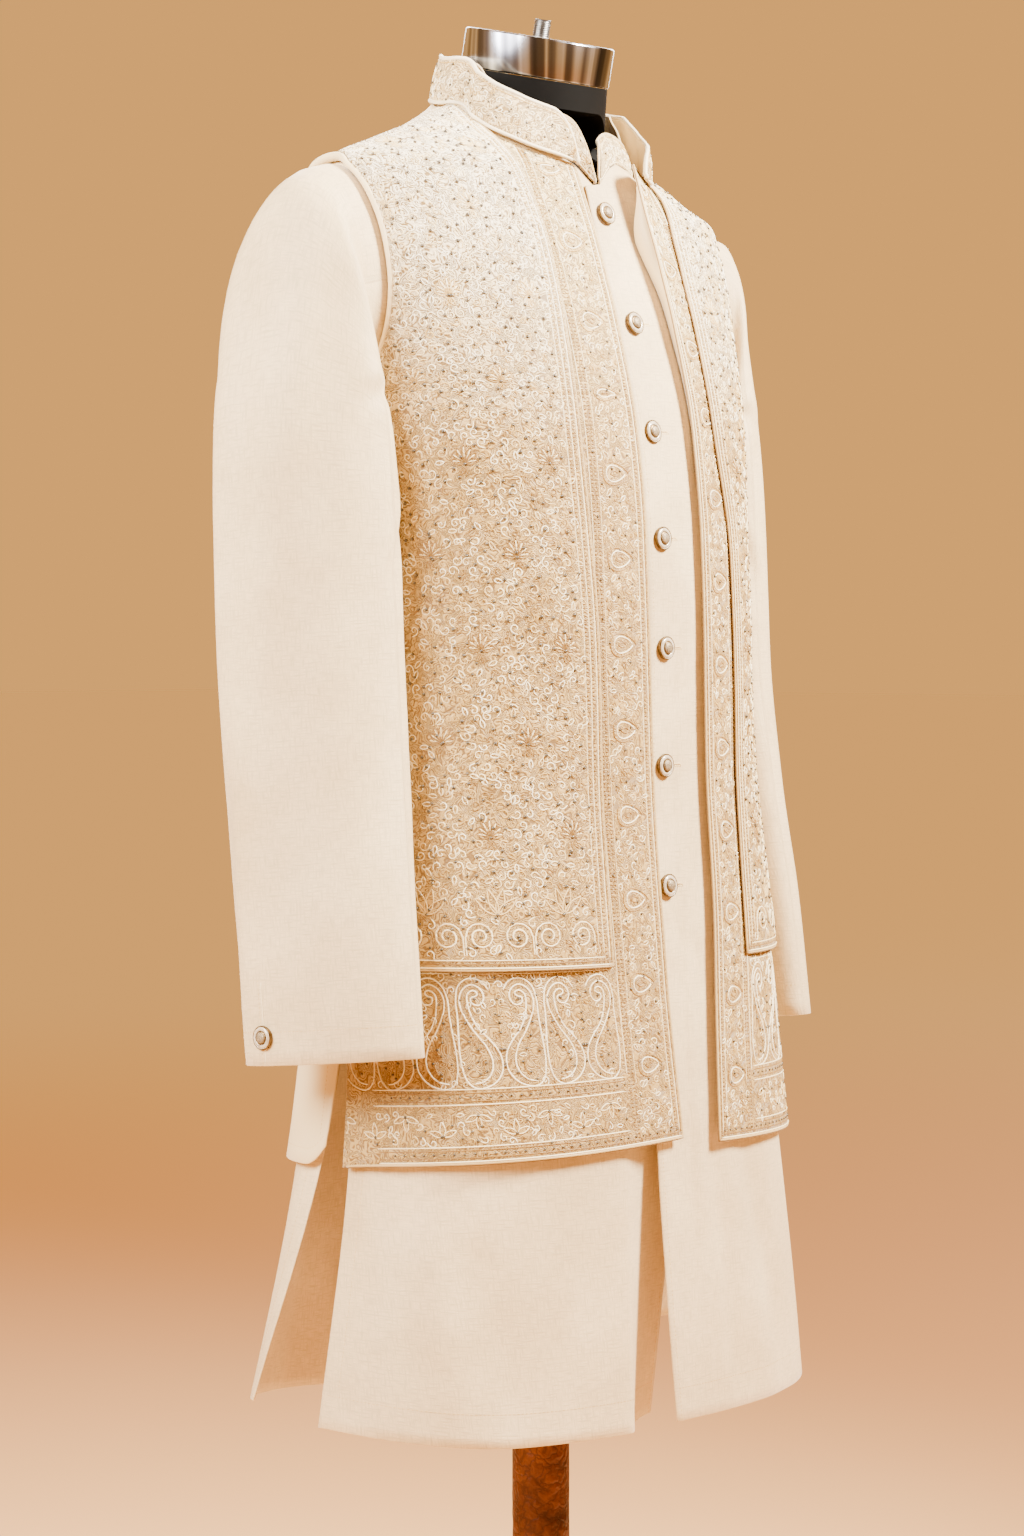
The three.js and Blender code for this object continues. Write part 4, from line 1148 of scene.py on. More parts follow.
def onPanel(panel, s, t):
    up = panel["up"]
    if not up[0] <= t <= up[-1]:
        return None
    j = min(bisect.bisect_right(up, t) - 1, len(up) - 2)
    f = (t - up[j]) / (up[j + 1] - up[j])
    ends = []
    for row in (j, j + 1):
        run = panel["across"][row]
        if not run[0] <= s <= run[-1]:
            return None
        i = min(bisect.bisect_right(run, s) - 1, len(run) - 2)
        g = (s - run[i]) / max(run[i + 1] - run[i], 1e-6)
        line = panel["grid"][row]
        ends.append((line[i].lerp(line[i + 1], g), (line[i + 1] - line[i]).normalized()))
    along = ends[0][1]
    rise = ends[1][0] - ends[0][0]
    normal = along.cross(rise).normalized() * panel["outwards"]
    return ends[0][0].lerp(ends[1][0], f), normal


def resample(line, step):
    points = [line[0]]
    rest = 0.0
    for (x0, y0), (x1, y1) in zip(line, line[1:]):
        length = math.hypot(x1 - x0, y1 - y0)
        if length < 1e-6:
            continue
        at = step - rest
        while at <= length:
            points.append((mix(x0, x1, at / length), mix(y0, y1, at / length)))
            at += step
        rest = (rest + length) % step
    if rest > 0.3 * step:
        points.append(line[-1])
    return points


def startWork():
    return {"points": [], "faces": [], "places": [], "toneAndPaintedLight": []}


def layCord(work, panel, line, half, tone, step=None):
    runs, run = [], []
    for s, t in resample(line, step or stitchery["step"]):
        place = onPanel(panel, s, t)
        if place:
            run.append(place)
        elif run:
            runs.append(run)
            run = []
    runs.append(run)
    for run in runs:
        if len(run) < 3:
            continue
        first = len(work["points"])
        for k, (p, normal) in enumerate(run):
            along = run[min(k + 1, len(run) - 1)][0] - run[max(k - 1, 0)][0]
            aside = normal.cross(along).normalized()
            size = half * (stitchery["taper"] if k in (0, len(run) - 1) else 1)
            foot = p - normal * stitchery["sunk"]
            work["points"] += [foot + aside * size, p + normal * (size * stitchery["rise"]),
                               foot - aside * size]
            work["places"] += [(k * stitchery["twist"], corner) for corner in range(3)]
            # Painted highlight, partly: the threads pale with height, less on panels with a smaller
            # share.
            high = ease((p.z - stitchery["paleAndLitFrom"]) / stitchery["paleAndLitOver"])
            high *= panel.get("paleShare", 1)
            work["toneAndPaintedLight"] += [mix(stitchery["lowTone"] + tone, stitchery["highTone"] * tone, high)] * 3
        for k in range(len(run) - 1):
            a = first + 3 * k
            work["faces"] += [(a, a + 1, a + 4, a + 3), (a + 1, a + 2, a + 5, a + 4),
                              (a + 2, a, a + 3, a + 5)]
        last = first + 3 * (len(run) - 1)
        work["faces"] += [(first, first + 2, first + 1), (last, last + 1, last + 2)]


def layLines(work, panel, lines, step):
    for line, half, tone in lines:
        layCord(work, panel, line, half, tone, step)


def setStone(work, panel, s, t, radius):
    place = onPanel(panel, s, t)
    if not place:
        return
    p, normal = place
    aside = normal.cross(Vector((0, 0, 1))).normalized()
    upward = normal.cross(aside)
    first = len(work["points"])
    for size, height in ((1, -0.2), (0.95, 0.45), (0.5, 0.85)):
        for k in range(6):
            turn = math.pi * k / 3
            rim = (aside * math.cos(turn) + upward * math.sin(turn)) * (radius * size)
            work["points"].append(p + rim + normal * (radius * height))
            work["places"].append((k, size))
            work["toneAndPaintedLight"].append(0.0)
    for ring in range(2):
        for k in range(6):
            a, b = first + 6 * ring + k, first + 6 * ring + (k + 1) % 6
            work["faces"].append((a, b, b + 6, a + 6))
    work["faces"].append(tuple(first + 12 + k for k in range(6)))
    work["faces"].append(tuple(first + k for k in reversed(range(6))))


def finishWork(name, work, material, slotName):
    piece = meshObject(name, [p * mm for p in work["points"]], work["faces"], work["places"])
    tone = piece.data.attributes.new("tone", "FLOAT", "POINT")
    tone.data.foreach_set("value", work["toneAndPaintedLight"])
    return fit(piece, material, slotName)


def finishEmbroidery(name, work, stones):
    finishWork(name + "Embroidery", work, threadMaterial, "embroidered_cloth")
    finishWork(name + "Stones", stones, stoneMaterial, "embroidered_cloth")


def placed(line, x, y, turn=0.0, scale=1.0, hand=1):
    c, s = math.cos(turn) * scale, math.sin(turn) * scale
    return [(x + hand * a * c - b * s, y + hand * a * s + b * c) for a, b in line]


def smoothLine(points, closes=False, steps=5):
    line = []
    count = len(points)
    for k in range(count if closes else count - 1):
        if closes:
            p = [points[(k + d) % count] for d in (-1, 0, 1, 2)]
        else:
            p = [points[clamp(k + d, 0, count - 1)] for d in (-1, 0, 1, 2)]
        for step in range(steps):
            t = step / steps
            line.append(tuple(
                0.5 * (2 * p[1][a] + (p[2][a] - p[0][a]) * t
                       + (2 * p[0][a] - 5 * p[1][a] + 4 * p[2][a] - p[3][a]) * t * t
                       + (3 * p[1][a] - p[0][a] - 3 * p[2][a] + p[3][a]) * t ** 3) for a in (0, 1)))
    line.append(line[0] if closes else points[-1])
    return line


def petal(length, width):
    side = [(width / 2 * math.sin(math.pi * (k / 6) ** 0.8), length * k / 6) for k in range(7)]
    return side + [(-x, y) for x, y in reversed(side[:-1])]


def spiral(radius, turns, tail=0.0):
    count = max(6, round(turns * 11))
    line = [(radius, -tail)] if tail else []
    for k in range(count + 1):
        reach, turn = radius * (1 - 0.72 * k / count), turns * 2 * math.pi * k / count
        line.append((reach * math.cos(turn), reach * math.sin(turn)))
    return line


# A fan of petals over a stone, with a smaller one hanging under it.
def fanFlower(x, y):
    lines = []
    for k in range(-3, 4):
        reach, bend = 13.5 - 0.9 * abs(k), -0.47 * k
        lines.append((placed(petal(reach, 5.2), x, y + 1.2, bend), 0.55, 0.85))
        core = [(0, 3), (0, reach / 2 + 1), (0, reach - 2)]
        lines.append((placed(core, x, y + 1.2, bend), 0.7, 0.2))
    for k in (-1, 0, 1):
        lines.append((placed(petal(7.5, 3.4), x, y - 1.8, math.pi + 0.62 * k), 0.55, 0.8))
    for hand in (-1, 1):
        curl = placed(spiral(3.6, 1.2), x + hand * 9, y - 5, 0.4 * hand, 1, hand)
        lines.append((curl, 0.6, 0.45))
    return lines


# A leaning drop whose tip curls over. Two of them, mirrored, make a pair.
paisleyOutline = smoothLine([
    (8, 2), (17, 4), (24, 11), (26, 21), (22, 33), (13, 46), (6, 60), (4, 71), (8, 80), (16, 84),
    (23, 80), (25, 73), (21, 67), (15, 68), (14, 73), (18, 74), (20, 77), (16, 79), (11, 75),
    (11, 66), (13, 57),
], False, 4)
paisleyLobe = smoothLine([
    (13, 57), (18, 47), (26, 38), (33, 27), (34, 14), (28, 4), (19, -1), (10, -2), (3, 3), (0, 12),
    (-1, 26), (0, 42), (1, 58), (1, 70), (4, 82), (13, 89), (24, 87), (30, 79),
], False, 4)


def paisleyPair(x, y, wide, tall, gap=36):
    def turned(points, hand):
        return [(x + hand * (gap - a) * wide, y + b * tall) for a, b in points]

    lines, stones = [], []
    rib = smoothLine([(16, 8), (19, 20), (13, 36), (7, 52), (6, 66)], False, 3)
    spots = [(14, 10), (20, 19), (15, 30), (10, 41), (7, 52), (17, 72), (36, 52), (38, 30)]
    for hand in (-1, 1):
        lines += [(turned(paisleyOutline, hand), 0.75, 0), (turned(paisleyLobe, hand), 0.75, 0),
                  (turned(rib, hand), 0.6, 0.8)]
        stones += turned(spots, hand)
    for k in range(3):
        for hand in (-1, 1):
            leaf = placed(petal(8 - k, 3.2), x, y + (38 + 14 * k) * tall, 0.6 * hand)
            lines.append((leaf, 0.55, 0.7))
    lines.append(([(x, y + 30 * tall), (x, y + 84 * tall)], 0.6, 0.6))
    stones += [(x, y + (16 + 14 * k) * tall) for k in range(5)]
    return lines, stones


# An eye of two leaves round a gilt heart, for the edge borders.
def eyeMotif(x, y, hand):
    lines = []
    for size, tone in ((1, 0.8), (0.72, 0.0)):
        outline = smoothLine([(-13, 0), (-5, 6.5), (5, 8.5), (11, 5), (12, 0), (11, -5), (5, -8.5),
                              (-5, -6.5)], True, 4)
        lines.append((placed(outline, x, y, 0, size, hand), 0.75, tone))
    lines.append((placed(petal(8, 4), x - hand * 3, y, -hand * math.pi / 2), 0.65, 1.0))
    for k in (-1, 1):
        lines.append((placed(spiral(3.4, 1.3), x - hand * 5, y + k * 12.5, 0, 1, hand * k), 0.6, 0.3))
        turn = -k * hand * 0.7 + (math.pi if k < 0 else 0)
        lines.append((placed(petal(8, 3.2), x + hand * 5, y + k * 11, turn), 0.55, 0.15))
    return lines


def volute(x, y, radius, hand):
    return [(placed(spiral(radius, 1.7, radius * 1.3), x, y, 0, 1, hand), 0.85, 0.1),
            (placed(spiral(radius * 1.22, 0.95, radius * 1.5), x, y, 0, 1, hand), 0.6, 0.75)]


def ladder(work, panel, s0, s1, low, high, pitch=3.3):
    t = low
    while t < high:
        rung = [(s0, t), ((s0 + s1) / 2, t + 0.3), (s1, t)]
        layCord(work, panel, rung, 0.8, 0.95, (s1 - s0) / 2.01)
        t += pitch


# Staggered places over an area, row by row from the bottom.
def staggered(area, across, up):
    s0, s1, t0, t1 = area
    t, row = t0, 0
    while t < t1:
        s = s0 + (row % 2) * across / 2
        while s < s1:
            yield s, t
            s += across
        t += up
        row += 1


# Small hooked curls fill the ground between the larger figures, a little apart from them.
def fillCurls(work, panel, area, keepOut, pitch, size, dice):
    for s, t in staggered(area, pitch, pitch * 0.87):
        x, y = s + dice.uniform(-1.6, 1.6), t + dice.uniform(-1.6, 1.6)
        if any((x - a) ** 2 + (y - b) ** 2 < c * c for a, b, c in keepOut(x, y)):
            continue
        turn = dice.uniform(0, 2 * math.pi)
        tone = dice.choice((0.0, 0.05, 0.12, 0.2, 0.35, 0.6, 0.8))
        if dice.random() < 0.72:
            line = spiral(size * dice.uniform(0.8, 1.15), dice.uniform(0.8, 1.15), size)
        else:
            line = petal(size * 2.1, size * 0.9)
        layCord(work, panel, placed(line, x, y, turn, 1, dice.choice((-1, 1))), 0.6, tone, 1.9)


def scatterStones(work, panel, area, pitch, radius, dice):
    reach = pitch * 0.36
    for s, t in staggered(area, pitch, pitch * 0.8):
        if dice.random() < 0.93:
            setStone(work, panel, s + dice.uniform(-reach, reach), t + dice.uniform(-reach, reach),
                     radius * dice.uniform(0.85, 1.15))


def edgeBorder(work, panel, hand, high, wide, eyes):
    columns = ((2.0, 0.5, 0.9), (3.8, 0.7, 0.1), (9.4, 0.6, 0.1), (wide - 11.5, 0.5, 0.2),
               (wide - 3, 0.7, 0.1))
    layLines(work, panel, [([(s, s), (s, high)], half, tone) for s, half, tone in columns], 4)
    for s0, s1 in ((5.2, 8.2), (wide - 10.5, wide - 7.8), (wide - 6.8, wide - 4.2)):
        ladder(work, panel, s0, s1, 6, high, 2.9)
    for x, y in eyes:
        layLines(work, panel, eyeMotif(x, y, hand), 1.5)


def embroiderShort(name, panel, seed):
    dice = random.Random(seed)
    work, stones = startWork(), startWork()
    top = panel["up"][-1]
    columns = ((1.8, 0.5, 0.9), (3.4, 0.7, 0.1), (8.6, 0.6, 0.1), (13.6, 0.5, 0.1))
    rows = ((1.4, 0.8, 0.1), (4.4, 0.6, 0.85), (7, 0.6, 0.1))
    layLines(work, panel, [([(s, s), (s, top)], half, tone) for s, half, tone in columns], 4)
    layLines(work, panel, [([(t, t), (230, t)], half, tone) for t, half, tone in rows], 4)
    for s0, s1 in ((5.0, 7.6), (9.8, 12.6)):
        ladder(work, panel, s0, s1, 8, top, 2.9)
    flowers = list(staggered((30, 250, 96, top), *stitchery["flowerPitch"]))
    for x, y in flowers:
        layLines(work, panel, fanFlower(x, y), 1.6)
        setStone(stones, panel, x, y, 1.3)
    sprigs = [42 + 52 * k for k in range(5)]
    scrolls = [x + aside for x in sprigs for aside in (-14, 14)]
    for k, x in enumerate(scrolls):
        layLines(work, panel, volute(x, 24, 11, 1 if k % 2 else -1), 1.6)
        setStone(stones, panel, x, 24, 1.2)
    for x in sprigs:
        for bend in (-0.9, -0.3, 0.3, 0.9):
            layCord(work, panel, placed(petal(20, 6), x, 40, bend), 0.65, 0.4, 1.6)
        setStone(stones, panel, x, 40, 1.3)

    def keepOut(x, y):
        near = [(a, b + 3, 13.5) for a, b in flowers if abs(a - x) < 16 and abs(b - y) < 20]
        near += [(a, 24, 13) for a in scrolls if abs(a - x) < 16]
        return near + [(a, 48, 12) for a in sprigs if abs(y - 48) < 16]

    fillCurls(work, panel, (16, 260, 12, top), keepOut, stitchery["curlPitch"], stitchery["curlSize"],
              dice)
    scatterStones(stones, panel, (17, 260, 16, top), stitchery["stonePitch"],
                  stitchery["stoneRadius"], dice)
    finishEmbroidery(name, work, stones)


# A long front's hem band, paisley row and edge border, between rows of plain and gilt cords.
longFront = {
    "bandLow": 12, "bandTop": 42, "pairs": 4, "pairPitch": 66, "pairFoot": 55,
    "pairSize": (0.86, 0.87), "sprigs": 9, "sprigPitch": 27, "rowTop": 146, "far": 260,
    "eyePitch": 63, "eyes": 12,
    # height, half width and tone of each cord along the hem
    "rows": ((1.4, 0.8, 0.1), (4.2, 0.6, 0.85), (9.5, 0.6, 0.85), (12, 0.7, 0.1), (42, 0.7, 0.1),
             (44.6, 0.6, 0.85), (50.4, 0.6, 0.85), (53, 0.7, 0.1), (136, 0.6, 0.05),
             (138.2, 0.5, 0.85), (144, 0.5, 0.85), (146, 0.6, 0.05)),
    # how far a pair's curls keep from its middle line and foot
    "pairGround": ((8, 8), (15, 13), (22, 11), (25, 28), (27, 43), (28, 58), (21, 69), (14, 67),
                   (4, 22), (0, 36), (0, 52)),
}


def embroiderLong(name, panel, hand, seed, width, firstEye):
    dice = random.Random(seed)
    work, stones = startWork(), startWork()
    shape, top = longFront, panel["up"][-1]
    low, high, far, foot = shape["bandLow"], shape["bandTop"], shape["far"], shape["pairFoot"]
    eyes = [((width - 3) / 2 + 1.5, firstEye + k * shape["eyePitch"]) for k in range(shape["eyes"])]
    edgeBorder(work, panel, hand, top, width, eyes)
    rows = [([(width if t > 9 else t, t), (far, t)], half, tone) for t, half, tone in shape["rows"]]
    layLines(work, panel, rows, 4)
    for t, s in ((6.8, 6), (high + 5.5, width)):
        while s < far - 10:
            setStone(stones, panel, s, t, 0.95)
            s += 7.5
    pairs = [width + shape["pairPitch"] * (k + 0.5) for k in range(shape["pairs"])]
    for x in pairs:
        lines, spots = paisleyPair(x, foot, *shape["pairSize"])
        layLines(work, panel, lines, 1.6)
        for s, t in spots:
            setStone(stones, panel, s, t, 1.15)
    sprigs = [(width + 16 + shape["sprigPitch"] * k, k % 2) for k in range(shape["sprigs"])]
    for x, upright in sprigs:
        y = 20 if upright else 34
        for bend in (-1.2, -0.6, 0, 0.6, 1.2):
            layCord(work, panel, placed(petal(11, 4), x, y, bend + (0 if upright else math.pi)),
                    0.6, 0.15 + 0.5 * (abs(bend) == 0.6), 1.6)
        setStone(stones, panel, x, y, 1.3)

    def besideFigures(x, y):
        near = [(a, 25 if upright else 29, 10.5) for a, upright in sprigs if y < high]
        if y > foot:
            near += [(pair + s * d, foot + h, 8) for pair in pairs for s in (-1, 1)
                     for d, h in shape["pairGround"]]
        return near

    def besideEyes(x, y):
        return [(a, b, 17) for a, b in eyes if abs(b - y) < 20]

    for lowest, highest in ((low + 4, high - 2), (58, shape["rowTop"])):
        fillCurls(work, panel, (width + 4, far, lowest, highest), besideFigures, 7.4, 3.0, dice)
    fillCurls(work, panel, (12, width - 11, 12, top), besideEyes, 7.6, 3.1, dice)
    for area, pitch in (((width + 6, far, 62, shape["rowTop"]), 17), ((width + 6, far, 16, 40), 15),
                        ((13, width - 10, 14, top), 15)):
        scatterStones(stones, panel, area, pitch, 1.0, dice)
    finishEmbroidery(name, work, stones)


def embroiderCollar(name, panel, seed, height, isJacket):
    dice = random.Random(seed)
    work, stones = startWork(), startWork()
    length = panel["across"][0][-1]
    lines = [([(3, t), (length - 3, t)], 0.6, tone) for t, tone in ((1.6, 0.2), (height - 3, 0.8))]
    if isJacket:
        lines += [([(s, 3), (s, height - 4)], 0.6, 0.8) for s in (6, 9, length - 9, length - 6)]
        ladder(work, panel, 6.5, 8.7, 3, height - 6)
        ladder(work, panel, length - 8.7, length - 6.5, 3, height - 6)
    layLines(work, panel, lines, 3)
    start, pitch, radius = (13, 12, 1.0) if isJacket else (10, 15, 0.8)
    fillCurls(work, panel, (start, length - start, 5, height - 5), lambda x, y: [], 7.2, 2.9, dice)
    scatterStones(stones, panel, (start, length - start, 6, height - 4), pitch, radius, dice)
    finishEmbroidery(name, work, stones)


# The long fronts and the collars take less of the paling; on the long fronts the darker top is painted
# shade near the collar.
for panel, paleShare in ((rightLong, 0.55), (leftLong, 0.55), (kurtaCollar, 0.5),
                         (jacketCollar, 0.5)):
    panel["paleShare"] = paleShare
embroiderShort("rightShort", rightShort, 3)
embroiderShort("leftShort", leftShort, 4)
embroiderLong("rightLong", rightLong, 1, 5, 56, 60)
embroiderLong("leftLong", leftLong, -1, 6, 50, 48)
embroiderCollar("jacketCollar", jacketCollar, 8, 34, True)
embroiderCollar("kurtaCollar", kurtaCollar, 9, 31, False)


# Hard pieces start as cylinders. Steps on the top face each go inwards, then up, in millimetres.
def cylinderPiece(name, sides, radius, low, high):
    bpy.ops.object.select_all(action="DESELECT")
    bpy.ops.mesh.primitive_cylinder_add(vertices=sides, radius=radius * mm, depth=(high - low) * mm,
                                        location=(0, 0, (low + high) / 2 * mm))
    bpy.ops.object.transform_apply(location=True, rotation=True, scale=True)
    piece = bpy.context.object
    piece.name = name
    piece.data.name = name
    return piece


def pickTop(piece):
    bpy.ops.object.mode_set(mode="EDIT")
    bpy.ops.mesh.select_mode(type="FACE")
    bpy.ops.mesh.select_all(action="DESELECT")
    shape = bmesh.from_edit_mesh(piece.data)
    max(shape.faces, key=lambda face: face.calc_center_median().z).select_set(True)
    bmesh.update_edit_mesh(piece.data)


def stepTop(piece, steps):
    pickTop(piece)
    for inwards, rise in steps:
        if inwards:
            bpy.ops.mesh.inset(thickness=abs(inwards) * mm, depth=0)
            bpy.ops.transform.translate(value=(0, 0, rise * mm))
        else:
            bpy.ops.mesh.extrude_region_move(TRANSFORM_OT_translate={"value": (0, 0, rise * mm)})
    bpy.ops.object.mode_set(mode="OBJECT")


def selectEdges(piece, wanted):
    bpy.ops.object.mode_set(mode="EDIT")
    bpy.ops.mesh.select_mode(type="EDGE")
    bpy.ops.mesh.select_all(action="DESELECT")
    shape = bmesh.from_edit_mesh(piece.data)
    for edge in shape.edges:
        edge.select_set(bool(wanted(edge)))
    bmesh.update_edit_mesh(piece.data)


def roundRims(piece, width, segments, wanted):
    selectEdges(piece, lambda edge: len(edge.link_faces) == 2 and edge.calc_face_angle(0) > 1.2
                and wanted(edge))
    bpy.ops.mesh.bevel(offset=width * mm, segments=segments, affect="EDGES")
    bpy.ops.object.mode_set(mode="OBJECT")


def smoothFaces(piece, angle=32):
    bpy.ops.object.select_all(action="DESELECT")
    piece.select_set(True)
    bpy.context.view_layer.objects.active = piece
    bpy.ops.object.shade_smooth_by_angle(angle=math.radians(angle))


# A button in two tiers: a gilt cup, a pearl ring, a thin dark rim and a grained centre.
button = {
    "sides": 40, "radius": 8.8, "cup": 2.3,
    "steps": [(0.35, 0.35), (0.45, 0), (0.3, -0.35), (0.35, 0.5), (0.7, 0.35), (0.9, 0.12),
              (0.5, -0.2), (0.25, -0.2), (0.25, 0.9), (0.35, 0.15), (0.25, -0.25), (0.4, 0.5),
              (0.9, 0.45), (1.1, 0.3), (1.2, 0.12)],
    "pearlFrom": 5.1, "pearlTo": 7.85, "centre": 4.2,
}


def makeButton(shape):
    piece = cylinderPiece("button", shape["sides"], shape["radius"], 0.25, shape["cup"])
    stepTop(piece, shape["steps"])
    roundRims(piece, 0.5, 2, lambda edge: edge.verts[0].co.z < 0.3 * mm)
    for material in (giltMaterial, pearlMaterial, champagneMaterial):
        piece.data.materials.append(material)
    for face in piece.data.polygons:
        reach = Vector(face.center[:2]).length / mm
        upper = face.center.z > shape["cup"] * mm and face.normal.z > 0.3
        if upper and shape["pearlFrom"] < reach < shape["pearlTo"]:
            face.material_index = 1
        elif upper and reach < shape["centre"]:
            face.material_index = 2
    smoothFaces(piece, 40)
    return piece


# Where a node's button sits on the cloth, and the way that it faces.
def buttonSeat(node, guess):
    mesh = frame["nodes"][node].data
    facing = Vector((0, 0, 0))
    for face in mesh.polygons:
        if face.normal.dot(guess) > 0.8:
            facing += face.normal * face.area
    facing.normalize()
    low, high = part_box(node)
    middle = (low + high) / 2
    foot = min(v.co.dot(facing) for v in mesh.vertices)
    return middle + facing * (foot - middle.dot(facing)), facing


def placeButton(model, node, name, guess):
    foot, facing = buttonSeat(node, guess)
    piece = model.copy()
    piece.data = model.data.copy()
    piece.name = name
    bpy.context.collection.objects.link(piece)
    turn = facing.to_track_quat("Z", "Y").to_matrix().to_4x4()
    piece.data.transform(Matrix.Translation(foot) @ turn)
    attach(piece, "root")
    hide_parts(node)
    return foot


buttonModel = makeButton(button)
buttonFeet = [placeButton(buttonModel, f"kurta_button_{k}", f"frontButton{k}", Vector((0, -1, 0)))
              for k in range(1, 8)]
for name, side in (("Right", -1), ("Left", 1)):
    placeButton(buttonModel, "cuff_button_" + name.lower(), "cuffButton" + name, Vector((side, 0, 0)))
bpy.data.objects.remove(buttonModel)
print("buttons done")

# Sewing that shows: hems, slit facings, the lapped edge, cuffs and buttonholes.
sewing = {"stitch": 3.3, "share": 0.7, "half": 0.34, "tone": 0.5, "hem": 24, "facing": 15, "lap": 5,
          "holeFrom": 9.2, "holeLong": 11, "holeHalf": 0.95, "jacketHem": 11, "seam": 2.2,
          "vent": 0.34, "ventHigh": 60}


def stitchLine(work, panel, line):
    spots = resample(line, sewing["stitch"])
    for (s0, t0), (s1, t1) in zip(spots, spots[1:]):
        ds, dt = (s1 - s0) * sewing["share"], (t1 - t0) * sewing["share"]
        short = [(s0, t0), (s0 + ds / 2, t0 + dt / 2), (s0 + ds, t0 + dt)]
        layCord(work, panel, short, sewing["half"], sewing["tone"], math.hypot(ds, dt) / 2.01)


# A line that keeps its distance from a panel's first or last column, between two distances up.
def besideEdge(panel, distance, low, high, last=False):
    return [((run[-1] - distance) if last else distance, t)
            for run, t in zip(panel["across"], panel["up"]) if low <= t <= high]


def hemStitches(work, panel, t, inset):
    across = panel["across"][bisect.bisect_right(panel["up"], t) - 1]
    stitchLine(work, panel, [(inset, t), (across[-1] - inset, t)])


def buttonhole(work, panel, foot):
    z = foot.z / mm
    row = next(j for j, line in enumerate(panel["grid"]) if line[0].z >= z)
    line = panel["grid"][row]
    t = panel["up"][row] - (line[0].z - z)
    near = min(range(len(line)), key=lambda i: abs(line[i].x - foot.x / mm))
    s = panel["across"][row][near] + sewing["holeFrom"]
    end = s + sewing["holeLong"]
    for side in (-1, 1):
        height = t + side * sewing["holeHalf"]
        layCord(work, panel, [(s, height), ((s + end) / 2, height), (end, height)], 0.5, 0.35, 2)
    layCord(work, panel, [(s, t), (end, t)], 0.35, 0.9, 2)
    layCord(work, panel, [(end, t - 1.5), (end, t), (end, t + 1.5)], 0.5, 0.35, 1.4)


def sewPanels():
    pieces = {}
    slitLow, slitHigh = sewing["hem"], kurtaSlit["top"] - kurta["hem"]
    for name, panel in kurtaPanels.items():
        work = startWork()
        hemStitches(work, panel, sewing["hem"], sewing["lap"])
        stitchLine(work, panel, besideEdge(panel, sewing["facing"], slitLow, slitHigh, True))
        if panel is kurtaBack:
            stitchLine(work, panel, besideEdge(panel, sewing["facing"], slitLow, slitHigh))
        else:
            stitchLine(work, panel, besideEdge(panel, sewing["lap"], 0, panel["up"][-1]))
        if panel is kurtaLeft:
            for foot in buttonFeet:
                buttonhole(work, panel, foot)
        pieces[name] = finishWork(name + "Stitches", work, threadMaterial, "kurta_silk")
    for name, panel in sleevePanels.items():
        name = "kurtaSleeve" + name
        work = startWork()
        hemStitches(work, panel, sewing["hem"], 0.5)
        vent = panel["across"][0][round(sewing["vent"] * sleeves["round"])]
        stitchLine(work, panel, [(vent, 1), (vent, sewing["ventHigh"] + 2)])
        layCord(work, panel, [(vent - 3, 0.5), (vent - 3, sewing["ventHigh"])], 0.7, 0.1, 4)
        pieces[name] = finishWork(name + "Stitches", work, threadMaterial, "kurta_silk")
    work = startWork()
    hemStitches(work, jacketBack, sewing["jacketHem"], sewing["lap"])
    middle = [(run[len(run) // 2], t) for run, t in zip(jacketBack["across"], jacketBack["up"])]
    for aside in (-sewing["seam"], sewing["seam"]):
        stitchLine(work, jacketBack, [(s + aside, t) for s, t in middle])
    layCord(work, jacketBack, middle, 0.5, 0.3, 6)
    for last in (False, True):
        stitchLine(work, jacketBack, besideEdge(jacketBack, sewing["jacketHem"], 12, 157, last))
    pieces["jacketBack"] = finishWork("jacketBackStitches", work, threadMaterial, "jacket_back_cloth")
    return pieces


stitches = sewPanels()
print("sewing done")


# The flat cut of each piece of cloth, from its widths row by row.
def cutCloth(name, panel, restsOn, extras=(), closes=False):
    widths = []
    for line, run in zip(panel["grid"], panel["across"]):
        widths.append(run[-1] - run[0] + ((line[0] - line[-1]).length if closes else 0))
    area = sum((a + b) / 2 * (t1 - t0) for a, b, t0, t1
               in zip(widths, widths[1:], panel["up"], panel["up"][1:]))
    objects = bpy.data.objects
    named = [objects[extra] for extra in extras]
    if name in stitches:
        named.append(stitches[name])
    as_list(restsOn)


for name, panel, below in (("kurtaFrontRight", kurtaRight, ["form_torso"]),
                           ("kurtaFrontLeft", kurtaLeft, ["form_torso", "kurtaFrontRight"]),
                           ("kurtaBack", kurtaBack, ["form_torso"])):
    cutCloth(name, panel, below)
for name, panel in sleevePanels.items():
    cutCloth("kurtaSleeve" + name, panel, ["kurtaFront" + name, "kurtaBack"], closes=True)
for trim, panel, below in (("rightLong", rightLong, "kurtaFrontRight"),
                           ("leftLong", leftLong, "kurtaFrontLeft"),
                           ("rightShort", rightShort, "jacketFrontRightLong"),
                           ("leftShort", leftShort, "jacketFrontLeftLong")):
    cutCloth("jacketFront" + trim[0].upper() + trim[1:], panel, [below],
             [trim + part for part in ("Embroidery", "Stones", "Piping", "EdgeShadowLine")])
cutCloth("jacketBack", jacketBack, ["kurtaBack"],
         ["armholeBindingRight", "armholeBindingLeft"])
cutCloth("jacketLeftFacing", facing, ["jacketFrontLeftLong"])
for name, panel, below, extras in (("kurtaCollar", kurtaCollar, "kurtaBack", []),
                                   ("jacketCollar", jacketCollar, "jacketBack", ["jacketCollarFoot"])):
    cutCloth(name, panel, [below],
             extras + [name + part for part in ("Embroidery", "Stones", "Piping")])

